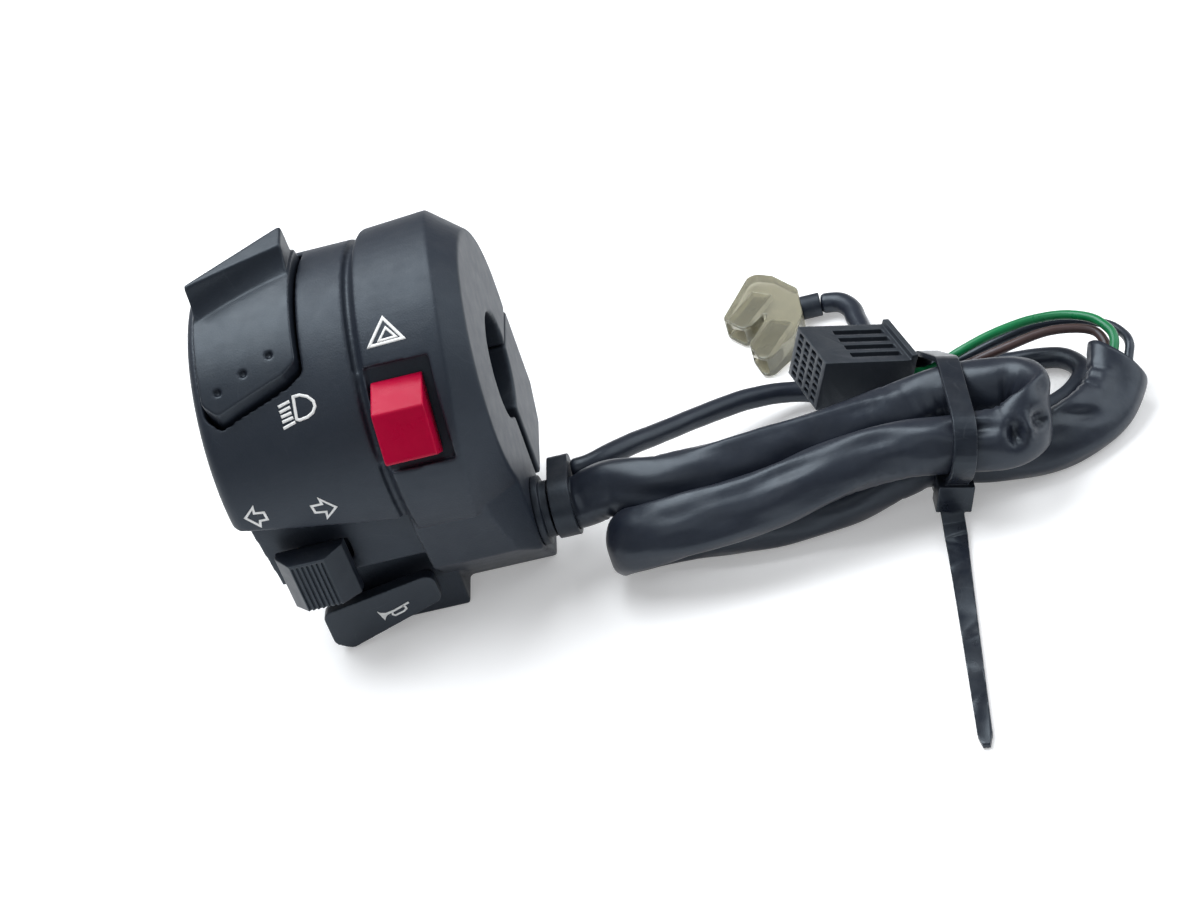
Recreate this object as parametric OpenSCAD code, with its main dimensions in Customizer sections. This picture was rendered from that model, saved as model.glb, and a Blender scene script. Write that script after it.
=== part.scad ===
// Left-hand handlebar switch cluster with its tied-up harness.
// X runs along the handlebar, -Y faces the rider and +Z is up.
// The origin lies on the bar axis, in the middle of the housing.

/* [Handlebar clamp] */
// Diameter of the handlebar that the housing seats on
bar_d = 22.2; // [20:0.1:23]
// Thickness of the two end walls that seat on the bar
seat_wall = 3; // [2.4:0.2:3.6]
// Gap under the bar between the front housing and the clamp
clamp_gap = 4.5; // [3.5:0.5:5.5]
// Shank diameter of the two clamp screws
clamp_screw_d = 4.8; // [4:0.2:5.4]
// Depth of the clamp below the bar axis
clamp_drop = 30; // [28:0.5:33]

/* [Housing] */
// Radius of the barrel round the bar axis
barrel_r = 32; // [31:0.5:34]
// Distance from the origin to the left end of the barrel
body_left = 26; // [25.5:0.5:29]
// Distance from the origin to the right end face
body_right = 30; // [29.5:0.5:34]
// Distance from the origin to the start of the raised block
block_left = 8; // [7:0.5:8.5]
// How far the block stands out past the barrel
block_rise = 2.2; // [1.6:0.1:2.8]
// Wall thickness of the two shells
wall = 2.4; // [2:0.1:2.6]
// Depth of the base below the bar axis
base_drop = 42; // [41:0.5:46]
// Distance from the bar axis to the flat back
back_reach = 24.5; // [23.5:0.5:26]

/* [Beam rocker] */
// Angle of the rocker's middle round the bar, up from the rider's side
rocker_angle = 74; // [72:1:76]
// How far the rocker plate stands out past the barrel
rocker_rise = 2; // [1.4:0.1:2.6]
// Swing of the rocker to each side
rocker_swing = 6; // [3:0.5:6]
// Diameter of the rocker's pivot pin
pivot_d = 3; // [2.6:0.1:3.4]

/* [Hazard switch] */
// Angle of the hazard recess round the bar
hazard_angle = 27; // [25:1:29]
// Width of the hazard knob
hazard_w = 10.4; // [9:0.2:11]
// Travel of the hazard knob up its recess
hazard_travel = 2.6; // [1.6:0.2:2.8]

/* [Turn switch] */
// Place of the turn knob along the bar
turn_x = -13.5; // [-13.5:0.5:-12]
// Travel of the turn knob to each side
turn_travel = 3.5; // [2:0.5:3.5]
// Travel of the turn knob when it is pushed in to cancel
turn_push = 1.2; // [0.8:0.1:1.4]
// Width of the turn knob at its back
turn_knob_w = 14.4; // [12:0.4:15]

/* [Horn] */
// Thickness of the horn paddle
horn_t = 2.8; // [2.2:0.1:3]
// Travel of the horn paddle
horn_travel = 2.2; // [1.4:0.1:2.4]

/* [Harness] */
// Outer diameter of the main sleeve
sleeve_d = 10.6; // [9:0.2:10.8]
// Outer diameter of the thin second lead
lead_d = 4.6; // [4:0.1:4.8]
// Outer diameter of a single wire
wire_d = 2; // [1.6:0.1:2.2]
// Width of the cable tie's strap
tie_w = 4.6; // [3.6:0.2:5]
// Thickness of the cable tie's strap
tie_t = 1.2; // [1:0.1:1.4]
// Length of the connector
conn_l = 21; // [18:0.5:22]
// Width of the connector
conn_w = 15.5; // [14:0.5:16]
// Height of the connector
conn_h = 11.4; // [10.6:0.2:12]

/* [Hidden] */
$fn = 64;

// Colours
black_plastic = [0.12, 0.13, 0.14];
dark_plastic = [0.08, 0.085, 0.09];
signal_red = [0.75, 0.05, 0.12];
steel = [0.7, 0.71, 0.73];
copper = [0.78, 0.48, 0.28];
brass = [0.8, 0.68, 0.35];
board_tan = [0.62, 0.5, 0.32];
rubber_black = [0.06, 0.06, 0.065];
sleeve_black = [0.09, 0.09, 0.11];
clear_boot = [0.85, 0.83, 0.72];
wire_green = [0.05, 0.5, 0.2];
wire_brown = [0.3, 0.17, 0.14];

// Clearances
run_fit = 0.05;
gap = 0.4;
reach = 120;

// Housing: places that follow from the sizes above
bar_r = bar_d / 2;
floor_z = -base_drop;
parting_z = -3;
block_r = barrel_r + block_rise;
left_wall = 2.4;
left_in = -body_left + left_wall;
right_in = body_right - seat_wall;
barrel_edge = 3;
groove_r = barrel_r - 1;
groove_w = 1.2;
block_flank = 1.4;
block_low = -12;
skirt_z = -7.7;
skirt_slope = 12.3;
end_y = -2;
end_z = 3.5;
end_face_r = barrel_r - 5.5;
end_slope = 0.8;
trim_len = 24;
back_in = back_reach - wall;
slot_y = -clamp_gap;
slot_in = slot_y - wall;
seat_liner = 1.2;

// Thumb panel, horn box and lower band
panel_y = -(barrel_r - 5);
panel_in = panel_y + wall;
turn_z = -16;
panel_low = turn_z - 6;
panel_floor = panel_low + 2.2;
panel_left = -body_left + 1.2;
panel_lean = 2;
panel_left_in = panel_left + panel_lean + 1.9;
horn_wall_y = panel_y + 5;
horn_wall_in = horn_wall_y + wall;
horn_left = turn_x - 0.5;
horn_right = block_left + 3;
band_y = -(barrel_r - 1.4);
band_low = -25.5;
band_low_y = band_y + 2.4;
foot_y = -13;
corner_y = 23.6;
corner_slope = 1.07;
corner_reach = block_r + 5.8;

// Beam rocker, in its own frame: Y along the tangent, Z out from the bar
works_room = 19.7;
works = (barrel_r - bar_r - seat_liner) / works_room;
pivot_w = barrel_r - 9 * works;
pivot_r = pivot_d / 2;
rocker_r = barrel_r + rocker_rise;
rocker_in = barrel_r - 5.5;
rocker_left = left_in + gap;
rib_x = -1.8;
rib_w = 2.4;
rocker_right = rib_x - 1.6;
rocker_slant = 6.4;
rocker_low = -12.6;
rocker_top = 19.4;
window_gap = 1;
base_w = bar_r + seat_liner + 0.3;
base_t = 2.2 * works;
base_top = base_w + base_t;
ball_r = 1.6 * works;
ball_w = base_top + 1.5 * works;
detent_r = ball_r + 0.1;
post_w = base_top + 1.8 * works;
post_top = pivot_w - pivot_r - 0.9 * works;
dimple_r = 0.8;
hollow_r = 8;
foot_low = base_top + 5.4 * works;
stud_r = 1.2;

// Hazard switch, in its own frame
recess_w = block_r - 4;
recess_left = block_left + 1;
recess_right = recess_left + 13.2;
recess_low = -11;
recess_high = 9.9;
hazard_x = recess_left + 5.8;
hazard_low = -9.4;
hazard_high = recess_high - hazard_travel - 0.6;
hazard_out = recess_w + 8;
stem_w = 4.4;
stem_low = -5;
stem_high = 0;
slide_top = recess_w - 5.6;
slide_t = 2.4;
slide_low = slide_top - slide_t;
contact_t = 0.6;
hazard_base_top = slide_low - 2.2;
rail_w = 1.8;
rail_left = recess_left - rail_w;
rail_right = recess_right;
rail_v = 9;

// Turn switch
neck_w = 6.4;
neck_h = 4.6;
knob_back = panel_y - turn_push - 0.8;
knob_front = knob_back - 6.5;
knob_low = turn_z - 8.4;
knob_high = turn_z + 5.2;
post_r = 2.5;
post_tip = knob_back - 2.2;
knob_bore_end = post_tip - turn_push - 1.2;
plate_y = panel_in + gap;
plate_t = 1.8;
plate_right = 12;
turn_base_y = plate_y + plate_t + contact_t + 1.2;
turn_base_t = 2.2;
turn_base_left = turn_x - 5.5;
turn_base_right = turn_x + 18.5;
turn_post_z = turn_z + 6.6;
turn_post_left = turn_x - 4.5;
turn_post_right = turn_x + 17;
turn_post_r = 2;
rib_count = 7;
small_screw_r = 1.2;
small_head_r = 2.1;
small_head_t = 1.4;
small_screw_l = 4;

// Horn
horn_back = horn_wall_y - horn_travel - 1;
horn_x = turn_x + 8.5;
horn_z = floor_z + 7;
horn_tab = 3.7;
horn_high_left = floor_z + 10.8;
horn_high_right = floor_z + 15.2;
horn_low_right = floor_z + 8;
stem_x = 10;
stem_z = 4.6;
flange_x = 12;
flange_z = 6.4;
flange_t = 1.6;
flange_y = horn_wall_in + gap;
horn_base_t = 2.5;
horn_base_y = slot_in - horn_base_t;
blade_x = horn_x + flange_x / 2 + gap;

// Clamp screws
screw_z = -19;
screw_xs = [-14, 18];
clamp_screw_r = clamp_screw_d / 2;
screw_boss_r = clamp_screw_r + 2.4;
screw_head_r = clamp_screw_r + 2;
screw_seat_y = back_reach - 4.5;
boss_gap = 2.5;
screw_tip_y = turn_base_y + turn_base_t + boss_gap + wall;
clamp_chamfer = 6.5;

// Harness: where the pieces start, and the routes
exit_y = -15.6;
exit_z = -27;
grommet_neck = 6.6;
grommet_rim = 7.3;
grommet_bore = 4.2;
grommet_rim_t = 1.4;
grommet_tip = body_right + 3;
sleeve_r = sleeve_d / 2;
lead_r = lead_d / 2;
wire_r = wire_d / 2;
band_x = grommet_tip + 0.4;
band_l = 4.4;
band_t = 1.3;
lead_y = -7.8;
lead_z = -24.6;
lead_start = band_x + band_l;
boot_face = 90.4;
sleeve_stub = 4.4;

end_gap = 0.3;
sleeve_route = [[grommet_tip + end_gap, exit_y, exit_z], [39, exit_y, exit_z], [46, -16.6, -24.8],
    [57, -19.4, -24.6], [72, -18.4, -25.4], [88, -15, -26.6], [104, -11.8, -26.6], [115, -10, -25.4],
    [124.6, -12.4, -24.6], [130.2, -14.8, -24.6], [132.4, -20.2, -24.8], [130.2, -25.6, -25],
    [124.6, -28, -25.4], [115, -26.6, -25], [104, -25.6, -24.6], [94, -26.4, -24.6], [80, -29.4, -25.4],
    [68, -30.6, -26.2], [59, -30.6, -27], [52.4, -30, -28], [48, -28.6, -29.2], [46.2, -25.4, -32.2],
    [48, -22.2, -35.2], [52.4, -20.8, -36.4], [60, -21.6, -36.4], [69, -22.8, -36.4], [80, -23, -36.4],
    [92, -22.2, -36], [103, -20.2, -34.6], [112, -19.4, -33.9], [123, -20, -35.2], [133, -19.4, -36.4],
    [141, -16.4, -36.4], [146.6, -12, -36.2], [150, -7.4, -35], [151.8, -2.8, -33]];
lead_route = [[lead_start + end_gap, lead_y, lead_z], [41.4, -7.6, -24.6], [45.4, -5.4, -25],
    [50.4, -1.4, -26.6], [57, 4, -29.4], [66, 10.4, -32.4], [76, 15.6, -35], [86, 17.8, -37.8],
    [95, 14.6, -39.5], [101.4, 6, -39.4], [106.4, -1.9, -38.3], [112, -5.8, -35.6], [119, -7.2, -36.8],
    [126, -7.4, -38.8], [133.4, -6, -39.5], [141.6, -1.8, -39.5], [145.4, 4.6, -39.5], [141.6, 10.8, -39.5],
    [131, 13, -39.5], [121, 14.6, -39.5], [113, 18.4, -39.5], [107, 24.6, -39.5], [103.6, 32, -39.4],
    [102, 40, -39.2], [101.4, 44.6, -39], [99, 48.4, -39], [boot_face + sleeve_stub + end_gap, 49.5, -39]];
green_middle = [[114, 7.5, -32.3], [117.6, 7.4, -31], [121.2, 7.2, -29.2], [128, 8.9, -28.1],
    [136, 10.4, -27.8], [143.4, 9.8, -27.8], [149, 6.8, -28], [151.8, 2.6, -28.6]];
brown_middle = [[113, 9.7, -33.9], [117, 8.4, -33.8], [121.4, 6.2, -32.2], [130, 5.6, -29.8],
    [138.4, 6.8, -29], [144.6, 6.6, -29.4], [149.2, 4.8, -30.2]];
dark_middle = [[111.8, 12, -35.2], [115.8, 11.6, -35.2], [121, 10.2, -33.6], [129, 10.7, -31.6],
    [138, 12.6, -31.2], [146, 11.8, -31.4], [152, 8, -31.4], [154.6, 3.4, -31.2]];

conn_back = [108.1, 12.4, -32.7];
conn_yaw = 16;
conn_pitch = 24;
conn_along = [cos(conn_yaw) * cos(conn_pitch), sin(conn_yaw) * cos(conn_pitch), -sin(conn_pitch)];
conn_across = [-sin(conn_yaw), cos(conn_yaw), 0];
conn_up = cross(conn_along, conn_across);
socket_cols = 4;
socket_rows = 7;
socket_depth = 6;
boot_at = [84, 46, -39];
boot_h = 5.4;
boot_wall = 0.8;
boot_legs = [[-9.4, -0.4, 54], [-5.4, -13.2, 58]];
boot_outline = [[-11.8, 2.9], [-7, -3.6], [0.9, 4.5], [-6.7, -8.9], [-4.3, -17.4], [3.8, -9.7], [6.4, -2],
    [6.4, 8.2], [4.8, 10.4], [1.3, 15.4], [-2.3, 17.6], [-4.6, 17.2]];
boot_round = 2;
boot_pocket = [13, 5.6];
blade = [11, 4.6, 0.8];
tie_x = 114.3;
tie_z = -31;
tie_lean = 16;
tie_fit = 0.4;
tie_runs = [[-10.2, 6.9, sleeve_r], [-26.8, 6.9, sleeve_r], [-27.6, 5.9, sleeve_r], [-19.6, -3.8, sleeve_r],
    [-4.4, -6.7, lead_r], [-6.6, -4.6, lead_r], [7.6, 0.6, wire_r], [9.9, -2, wire_r], [12.2, -3.4, wire_r],
    [12, -5, wire_r]];
tie_head = [7.2, 4.4, 6.4];
tie_head_at = [-29.2, -35.6];
tie_tail = [[-29.4, -37.2], [-31.4, -39.4], [-36, -41], [-52, -41.2], [-74, -41.2], [-92, -41.2]];
tie_tail_x = 112;
tie_tail_turn = -4;

// Plain helpers
function unit(v) = v / norm(v);
function arc(cx, cy, r, a0, a1, n = 6) =
    [for (i = [0:n]) [cx + r * cos(a0 + (a1 - a0) * i / n), cy + r * sin(a0 + (a1 - a0) * i / n)]];
function corner(a, p, b, r, n) =
    let (u = unit(a - p), v = unit(b - p), half = acos(u * v) / 2,
        d = min(r / tan(half), 0.45 * min(norm(a - p), norm(b - p))), rr = d * tan(half),
        c = p + unit(u + v) * rr / sin(half))
    [for (i = [0:n]) c + rr * unit((p + u * d - c) * (1 - i / n) + (p + v * d - c) * i / n)];
function rounded(pts, r, n = 4) =
    let (m = len(pts))
    [for (i = [0:m - 1]) each corner(pts[(i + m - 1) % m], pts[i], pts[(i + 1) % m], r, n)];

// A smooth curve through a list of points
function blend(a, b, c, d, t) =
    0.5 * (2 * b + (c - a) * t + (2 * a - 5 * b + 4 * c - d) * t * t + (3 * b - a - 3 * c + d) * t * t * t);
function smooth(p, steps) =
    let (m = len(p) - 1)
    concat([for (i = [0:m - 1]) for (k = [0:steps - 1])
        blend(p[max(i - 1, 0)], p[i], p[i + 1], p[min(i + 2, m)], k / steps)], [p[m]]);
function tangents(p) =
    [for (i = [0:len(p) - 1]) unit(p[min(i + 1, len(p) - 1)] - p[max(i - 1, 0)])];
function carried(s, t) = unit(s - t * (s * t));
function sides(t) =
    [for (i = 0, s = carried([0, 0.3, 1], t[0]); i < len(t);
        i = i + 1, s = i < len(t) ? carried(s, t[i]) : s) s];
function route_length(p, i = 0) = i >= len(p) - 1 ? 0 : norm(p[i + 1] - p[i]) + route_length(p, i + 1);

// The least gap of a tube to itself, between points that lie well apart along it
function run_lengths(p) =
    [for (i = 0, s = 0; i < len(p); i = i + 1, s = s + (i < len(p) ? norm(p[i] - p[i - 1]) : 0)) s];
function least_gap(p, d) =
    let (s = run_lengths(p))
    min([for (i = [0:len(p) - 2]) for (j = [i + 1:len(p) - 1])
        if (s[j] - s[i] > 2.6 * d) norm(p[i] - p[j])]) - d;

// A round tube swept along points
module tube(p, r, n) {
    t = tangents(p);
    s = sides(t);
    m = len(p);
    points = [for (i = [0:m - 1]) for (k = [0:n - 1])
        p[i] + r * (cos(360 * k / n) * s[i] + sin(360 * k / n) * cross(t[i], s[i]))];
    wallfaces = [for (i = [0:m - 2]) for (k = [0:n - 1]) let (a = i * n + k, b = i * n + (k + 1) % n)
        each [[a, a + n, b], [b, a + n, b + n]]];
    startcap = [for (k = [1:n - 2]) [0, k, k + 1]];
    endcap = [for (k = [1:n - 2]) [(m - 1) * n, (m - 1) * n + k + 1, (m - 1) * n + k]];
    polyhedron(points, concat(wallfaces, startcap, endcap));
}

// A coil spring along Z with its lower end at the origin
module coil(r, wire, turns, length) {
    steps = 10;
    pts = [for (i = [0:turns * steps])
        [r * cos(360 * i / steps), r * sin(360 * i / steps),
            wire / 2 + (length - wire) * i / (turns * steps)]];
    tube(pts, wire / 2, 6);
}

// Solids along the axes
module rod_x(x0, x1, r) translate([x0, 0, 0]) rotate([0, 90, 0]) cylinder(h = x1 - x0, r = r);
module rod_y(y0, y1, r) translate([0, y0, 0]) rotate([-90, 0, 0]) cylinder(h = y1 - y0, r = r);
module box(a, b) translate(a) cube(b - a);
module prism_x(x0, x1, pts) translate([x0, 0, 0]) rotate([90, 0, 90]) linear_extrude(x1 - x0) polygon(pts);
module prism_y(y0, y1, pts) translate([0, y1, 0]) rotate([90, 0, 0]) linear_extrude(y1 - y0) polygon(pts);
module revolve_x(pts) rotate([0, 90, 0]) rotate_extrude() polygon(pts);
module at_angle(a) rotate([90 - a, 0, 0]) children();
module above(z, slope) translate([0, 0, z]) rotate([0, slope, 0])
    translate([-reach, -reach, 0]) cube([2 * reach, 2 * reach, reach]);

// Outer shapes of the front housing
module barrel_outer() {
    split = block_left - groove_w;
    intersection() {
        revolve_x(concat([[0, -body_left]],
            arc(barrel_r - barrel_edge, -body_left + barrel_edge, barrel_edge, 270, 360),
            [[barrel_r, split], [groove_r, split], [groove_r, block_left], [0, block_left]]));
        above(skirt_z, skirt_slope);
    }
}

module block_outer() {
    intersection() {
        revolve_x([[0, block_left], [groove_r, block_left], [block_r - 0.8, block_left + block_flank],
            [block_r, body_right - 7], [block_r, body_right], [0, body_right]]);
        translate([0, end_y, end_z]) rotate([0, 90, 0]) translate([0, 0, body_right - trim_len])
            cylinder(h = trim_len, r1 = end_face_r + trim_len * end_slope, r2 = end_face_r);
        above(block_low, 0);
    }
}

function end_outline(x0, inset) =
    [[x0, -corner_reach], [body_right - (corner_reach - corner_y + inset) / corner_slope, -corner_reach],
        [body_right, -corner_y + inset], [body_right, 0], [x0, 0]];

module band_outer() {
    intersection() {
        prism_x(block_left, body_right, rounded([[band_y, 0], [band_y - 0.1, block_low - 1],
            [band_low_y, band_low], [foot_y, floor_z], [slot_y, floor_z], [slot_y, 0]], 2));
        translate([0, 0, floor_z]) linear_extrude(base_drop) polygon(end_outline(block_left, 0));
    }
}

module panel_outer() {
    intersection() {
        prism_x(-body_left, block_left + 1,
            [[panel_y, 0], [panel_y, panel_low], [slot_y, panel_low], [slot_y, 0]]);
        prism_y(panel_y, slot_y, [[panel_left, 0], [panel_left + panel_lean, panel_low], [reach, panel_low],
            [reach, 0]]);
    }
}

module horn_box_outer() box([horn_left, horn_wall_y, floor_z], [horn_right, slot_y, panel_low + 1]);

module housing_outer() {
    intersection() {
        union() {
            barrel_outer();
            block_outer();
        }
        box([-reach, -reach, -reach], [reach, back_reach, reach]);
    }
    band_outer();
    panel_outer();
    horn_box_outer();
}

// Hollows of the front housing
module housing_cavity() {
    intersection() {
        rod_x(left_in, block_left - groove_w, barrel_r - wall);
        above(skirt_z + wall, skirt_slope);
        box([-reach, -reach, -reach], [reach, back_in, reach]);
    }
    intersection() {
        translate([0, end_y, end_z]) rod_x(block_left - groove_w - 1, right_in, end_face_r - 2.5);
        above(block_low + wall, 0);
        box([-reach, -reach, -reach], [reach, back_in, reach]);
    }
    intersection() {
        prism_x(block_left + wall, right_in, [[band_y + 3, 0], [band_y + 3, block_low - 1],
            [band_low_y + 2.4, band_low + 0.8], [foot_y + 1, floor_z + wall], [slot_in, floor_z + wall],
            [slot_in, 0]]);
        translate([0, 0, floor_z]) linear_extrude(base_drop) polygon(end_outline(block_left, 1.5 * wall));
    }
    box([panel_left_in, panel_in, panel_floor], [block_left + wall + 1, slot_in, 4]);
    box([horn_left + wall, horn_wall_in, floor_z + wall], [horn_right - wall, slot_in, panel_floor + 1]);
    box([horn_right - wall - 1, foot_y + 1.5, floor_z + wall + 1], [horn_right + 1, slot_in, panel_low - 2]);
}

// Thin sleeve that joins the two end walls round the bar
module bar_liner() rod_x(left_in - 0.2, right_in + 0.2, bar_r + seat_liner);

// Ribs, rails and posts inside the front housing
module housing_ribs() {
    at_angle(rocker_angle) box([rib_x, -5, bar_r], [rib_x + rib_w, 5, barrel_r - 1]);
    at_angle(hazard_angle) {
        box([rail_left, -rail_v, hazard_base_top], [recess_left, rail_v, recess_w]);
        box([rail_right, -rail_v, hazard_base_top], [rail_right + rail_w, rail_v, recess_w]);
    }
    for (x = [turn_post_left, turn_post_right])
        translate([x, 0, turn_post_z]) rod_y(panel_in - 1, turn_base_y, turn_post_r);
    for (x = screw_xs)
        translate([x, 0, screw_z]) rod_y(screw_tip_y - wall, slot_y, screw_boss_r);
}

function rocker_outline(g) =
    let (l = rocker_left - g, r = rocker_right + g, low = rocker_low - g * window_gap / gap,
        top = rocker_top + g * window_gap / gap)
    rounded([[r, low], [r - 3, low - 2], [l + 2.6, low - rocker_slant], [l, low - rocker_slant + 2.4],
        [l, top - rocker_slant - 0.6], [r, top]], 1.4, 3);

module rocker_window() at_angle(rocker_angle) translate([0, 0, base_top + 4])
    linear_extrude(reach) polygon(rocker_outline(gap));

module hazard_cuts() at_angle(hazard_angle) {
    box([recess_left, recess_low, recess_w], [recess_right, recess_high, reach]);
    box([hazard_x - stem_w / 2 - gap, stem_low - gap, slide_top - 1],
        [hazard_x + stem_w / 2 + gap, stem_high + hazard_travel + gap, recess_w + 1]);
}

module turn_slot() {
    half = neck_w / 2 + turn_travel + gap;
    box([turn_x - half, panel_y - 1, turn_z - neck_h / 2 - gap],
        [turn_x + half, panel_in + 1, turn_z + neck_h / 2 + gap]);
}

module horn_window() box([horn_x - stem_x / 2 - gap, horn_wall_y - 1, horn_z - stem_z / 2 - gap],
    [horn_x + stem_x / 2 + gap, horn_wall_in + 1, horn_z + stem_z / 2 + gap]);

module front_housing() color(black_plastic) difference() {
    union() {
        difference() {
            housing_outer();
            housing_cavity();
        }
        housing_ribs();
        bar_liner();
    }
    rod_x(-reach, reach, bar_r);
    box([-reach, slot_y, -reach], [reach, reach, parting_z]);
    rocker_window();
    hazard_cuts();
    turn_slot();
    horn_window();
    translate([0, exit_y, exit_z]) {
        rod_x(right_in - 1, body_right + 1, grommet_neck + run_fit);
        rod_x(right_in - grommet_rim_t - gap, right_in, grommet_rim + run_fit);
    }
    at_angle(rocker_angle) translate([0, 0, pivot_w])
        rod_x(-body_left + 1, rib_x + rib_w, pivot_r + run_fit / 2);
    for (x = screw_xs)
        translate([x, 0, screw_z]) rod_y(screw_tip_y - run_fit, slot_y + 1, clamp_screw_r + run_fit);
    for (x = [turn_post_left, turn_post_right])
        translate([x, 0, turn_post_z])
            rod_y(turn_base_y - small_screw_l, turn_base_y + 1, small_screw_r + run_fit);
    at_angle(hazard_angle) for (x = [rail_left + rail_w / 2, rail_right + rail_w / 2])
        translate([x, 0, hazard_base_top - 1]) cylinder(h = small_screw_l, r = rail_w / 2 - 0.35 + run_fit);
}

// Rear half that closes the seat round the bar
function clamp_profile(inset, top) =
    [[inset, -clamp_drop + inset], [back_reach - clamp_chamfer - inset / 2, -clamp_drop + inset],
        [back_reach - inset, -clamp_drop + clamp_chamfer + inset / 2], [back_reach - inset, top],
        [inset, top]];

module rear_clamp() color(black_plastic) difference() {
    union() {
        difference() {
            prism_x(-body_left + 0.5, body_right, rounded(clamp_profile(0, parting_z - 0.3), 1));
            prism_x(left_in, right_in, clamp_profile(wall, reach));
        }
        for (x = screw_xs)
            translate([x, 0, screw_z]) rod_y(0, back_reach - wall / 2, screw_boss_r);
        intersection() {
            bar_liner();
            box([-reach, 0, -reach], [reach, reach, parting_z - 0.3]);
        }
    }
    rod_x(-reach, reach, bar_r);
    for (x = screw_xs) translate([x, 0, screw_z]) {
        rod_y(-1, back_reach, clamp_screw_r + run_fit);
        rod_y(screw_seat_y, back_reach + 1, screw_head_r + gap);
    }
}

module clamp_screws() color(steel) for (x = screw_xs) translate([x, 0, screw_z]) difference() {
    union() {
        rod_y(screw_tip_y, screw_seat_y + 1, clamp_screw_r);
        rod_y(screw_seat_y, screw_seat_y + 3.2, screw_head_r);
    }
    for (a = [0, 90])
        rotate([0, a, 0]) box([-2.6, screw_seat_y + 1.8, -0.5], [2.6, screw_seat_y + 4, 0.5]);
}

// Beam rocker and its works
// Each end of the hood lists degrees past the rocker's middle and height over its plate
hood_left = [[-3, -0.5], [6.3, 5.1], [8, 5.9], [20, -0.5]];
hood_right = [[9, -0.5], [20.5, 4.6], [28, 6.1], [31, -0.5]];
function hood_point(p) = (rocker_r + p[1]) * [-cos(rocker_angle + p[0]), sin(rocker_angle + p[0])];
function hollow_at(end) =
    let (low = hood_point(end[0]), ridge = hood_point(end[1]), d = ridge - low)
    (low + ridge) / 2 + [-d[1], d[0]] / norm(d) * sqrt(hollow_r * hollow_r - d * d / 4);
module hood_slice(x, end) prism_x(x, x + 0.6, [for (p = end) hood_point(p)]);
module hollow_disc(t) {
    c = hollow_at(hood_left) * (1 - t) + hollow_at(hood_right) * t;
    x = rocker_left * (1 - t) + rocker_right * t;
    translate([0, c[0], c[1]]) rod_x(x, x + 0.2, hollow_r);
}

module rocker_hood() difference() {
    hull() {
        hood_slice(rocker_left + 0.4, hood_left);
        hood_slice(rocker_right - 1.2, hood_right);
    }
    hull() {
        hollow_disc(-0.2);
        hollow_disc(1.2);
    }
}

module beam_rocker() color(dark_plastic) difference() {
    union() {
        intersection() {
            at_angle(rocker_angle) translate([0, 0, rocker_in - 12]) linear_extrude(reach)
                polygon(rocker_outline(0));
            difference() {
                rod_x(-body_left, 0, rocker_r);
                rod_x(-body_left - 1, 1, rocker_in);
            }
        }
        intersection() {
            at_angle(rocker_angle) translate([0, 0, rocker_in]) linear_extrude(reach)
                polygon(rocker_outline(0));
            rocker_hood();
        }
        at_angle(rocker_angle) {
            translate([0, 0, pivot_w]) rod_x(rocker_left, rib_x - gap, pivot_r + 2.4);
            box([rocker_left, -3.5, pivot_w], [rocker_right, 3.5, rocker_in + 2]);
            for (s = [-1, 1])
                box([turn_x - 4, 8 * s - 1.5, foot_low], [turn_x + 4, 8 * s + 1.5, rocker_in + 1]);
            translate([turn_x, 0, post_w]) cylinder(h = post_top - post_w + 1, r = detent_r + 1.3);
        }
    }
    at_angle(rocker_angle) {
        translate([0, 0, pivot_w]) rod_x(-body_left, 1, pivot_r + run_fit);
        translate([turn_x, 0, post_w - 1]) cylinder(h = post_top - post_w + 1, r = detent_r);
    }
    for (i = [0:2])
        translate([rocker_right - 5 - 5.6 * i, 0, 0]) at_angle(rocker_angle - 18 - 4.2 * i)
            translate([0, 0, rocker_r - 0.1]) sphere(r = dimple_r);
}

module beam_pivot_pin() color(steel) at_angle(rocker_angle) translate([0, 0, pivot_w])
    rod_x(-body_left + 1.2, rib_x + rib_w, pivot_r);

module beam_base() color(board_tan) at_angle(rocker_angle) difference() {
    box([left_in, -10, base_w], [rib_x, 10, base_top]);
    translate([0, 0, pivot_w]) rod_x(turn_x - 2.2, turn_x + 2.2, pivot_w - ball_w + ball_r + 0.2);
}

module beam_contact() color(copper) at_angle(rocker_angle) for (s = [-1, 1])
    box([turn_x - 3.6, 8 * s - 1.2, foot_low - contact_t], [turn_x + 3.6, 8 * s + 1.2, foot_low]);

module beam_detent_spring() color(steel) at_angle(rocker_angle)
    translate([turn_x, 0, ball_w + ball_r]) coil(1.2, 0.5, 3, post_top - ball_w - ball_r);

module beam_detent_ball() color(steel) at_angle(rocker_angle) translate([turn_x, 0, ball_w])
    sphere(r = ball_r);

// Hazard switch
module hazard_knob() color(signal_red) at_angle(hazard_angle) difference() {
    prism_x(hazard_x - hazard_w / 2, hazard_x + hazard_w / 2,
        rounded([[hazard_low, recess_w + gap], [hazard_low + 0.8, hazard_out - 0.8], [1.6, hazard_out],
            [hazard_high, recess_w + 1], [hazard_high, recess_w + gap]], 0.7));
    box([hazard_x - stem_w / 2 - run_fit, stem_low - run_fit, recess_w],
        [hazard_x + stem_w / 2 + run_fit, stem_high + run_fit, recess_w + 4]);
}

module hazard_slider() color(dark_plastic) at_angle(hazard_angle) {
    box([hazard_x - 5, -7, slide_low], [hazard_x + 5, 5, slide_top]);
    box([hazard_x - stem_w / 2, stem_low, slide_top - 0.5],
        [hazard_x + stem_w / 2, stem_high, recess_w + 3.9]);
}

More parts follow.
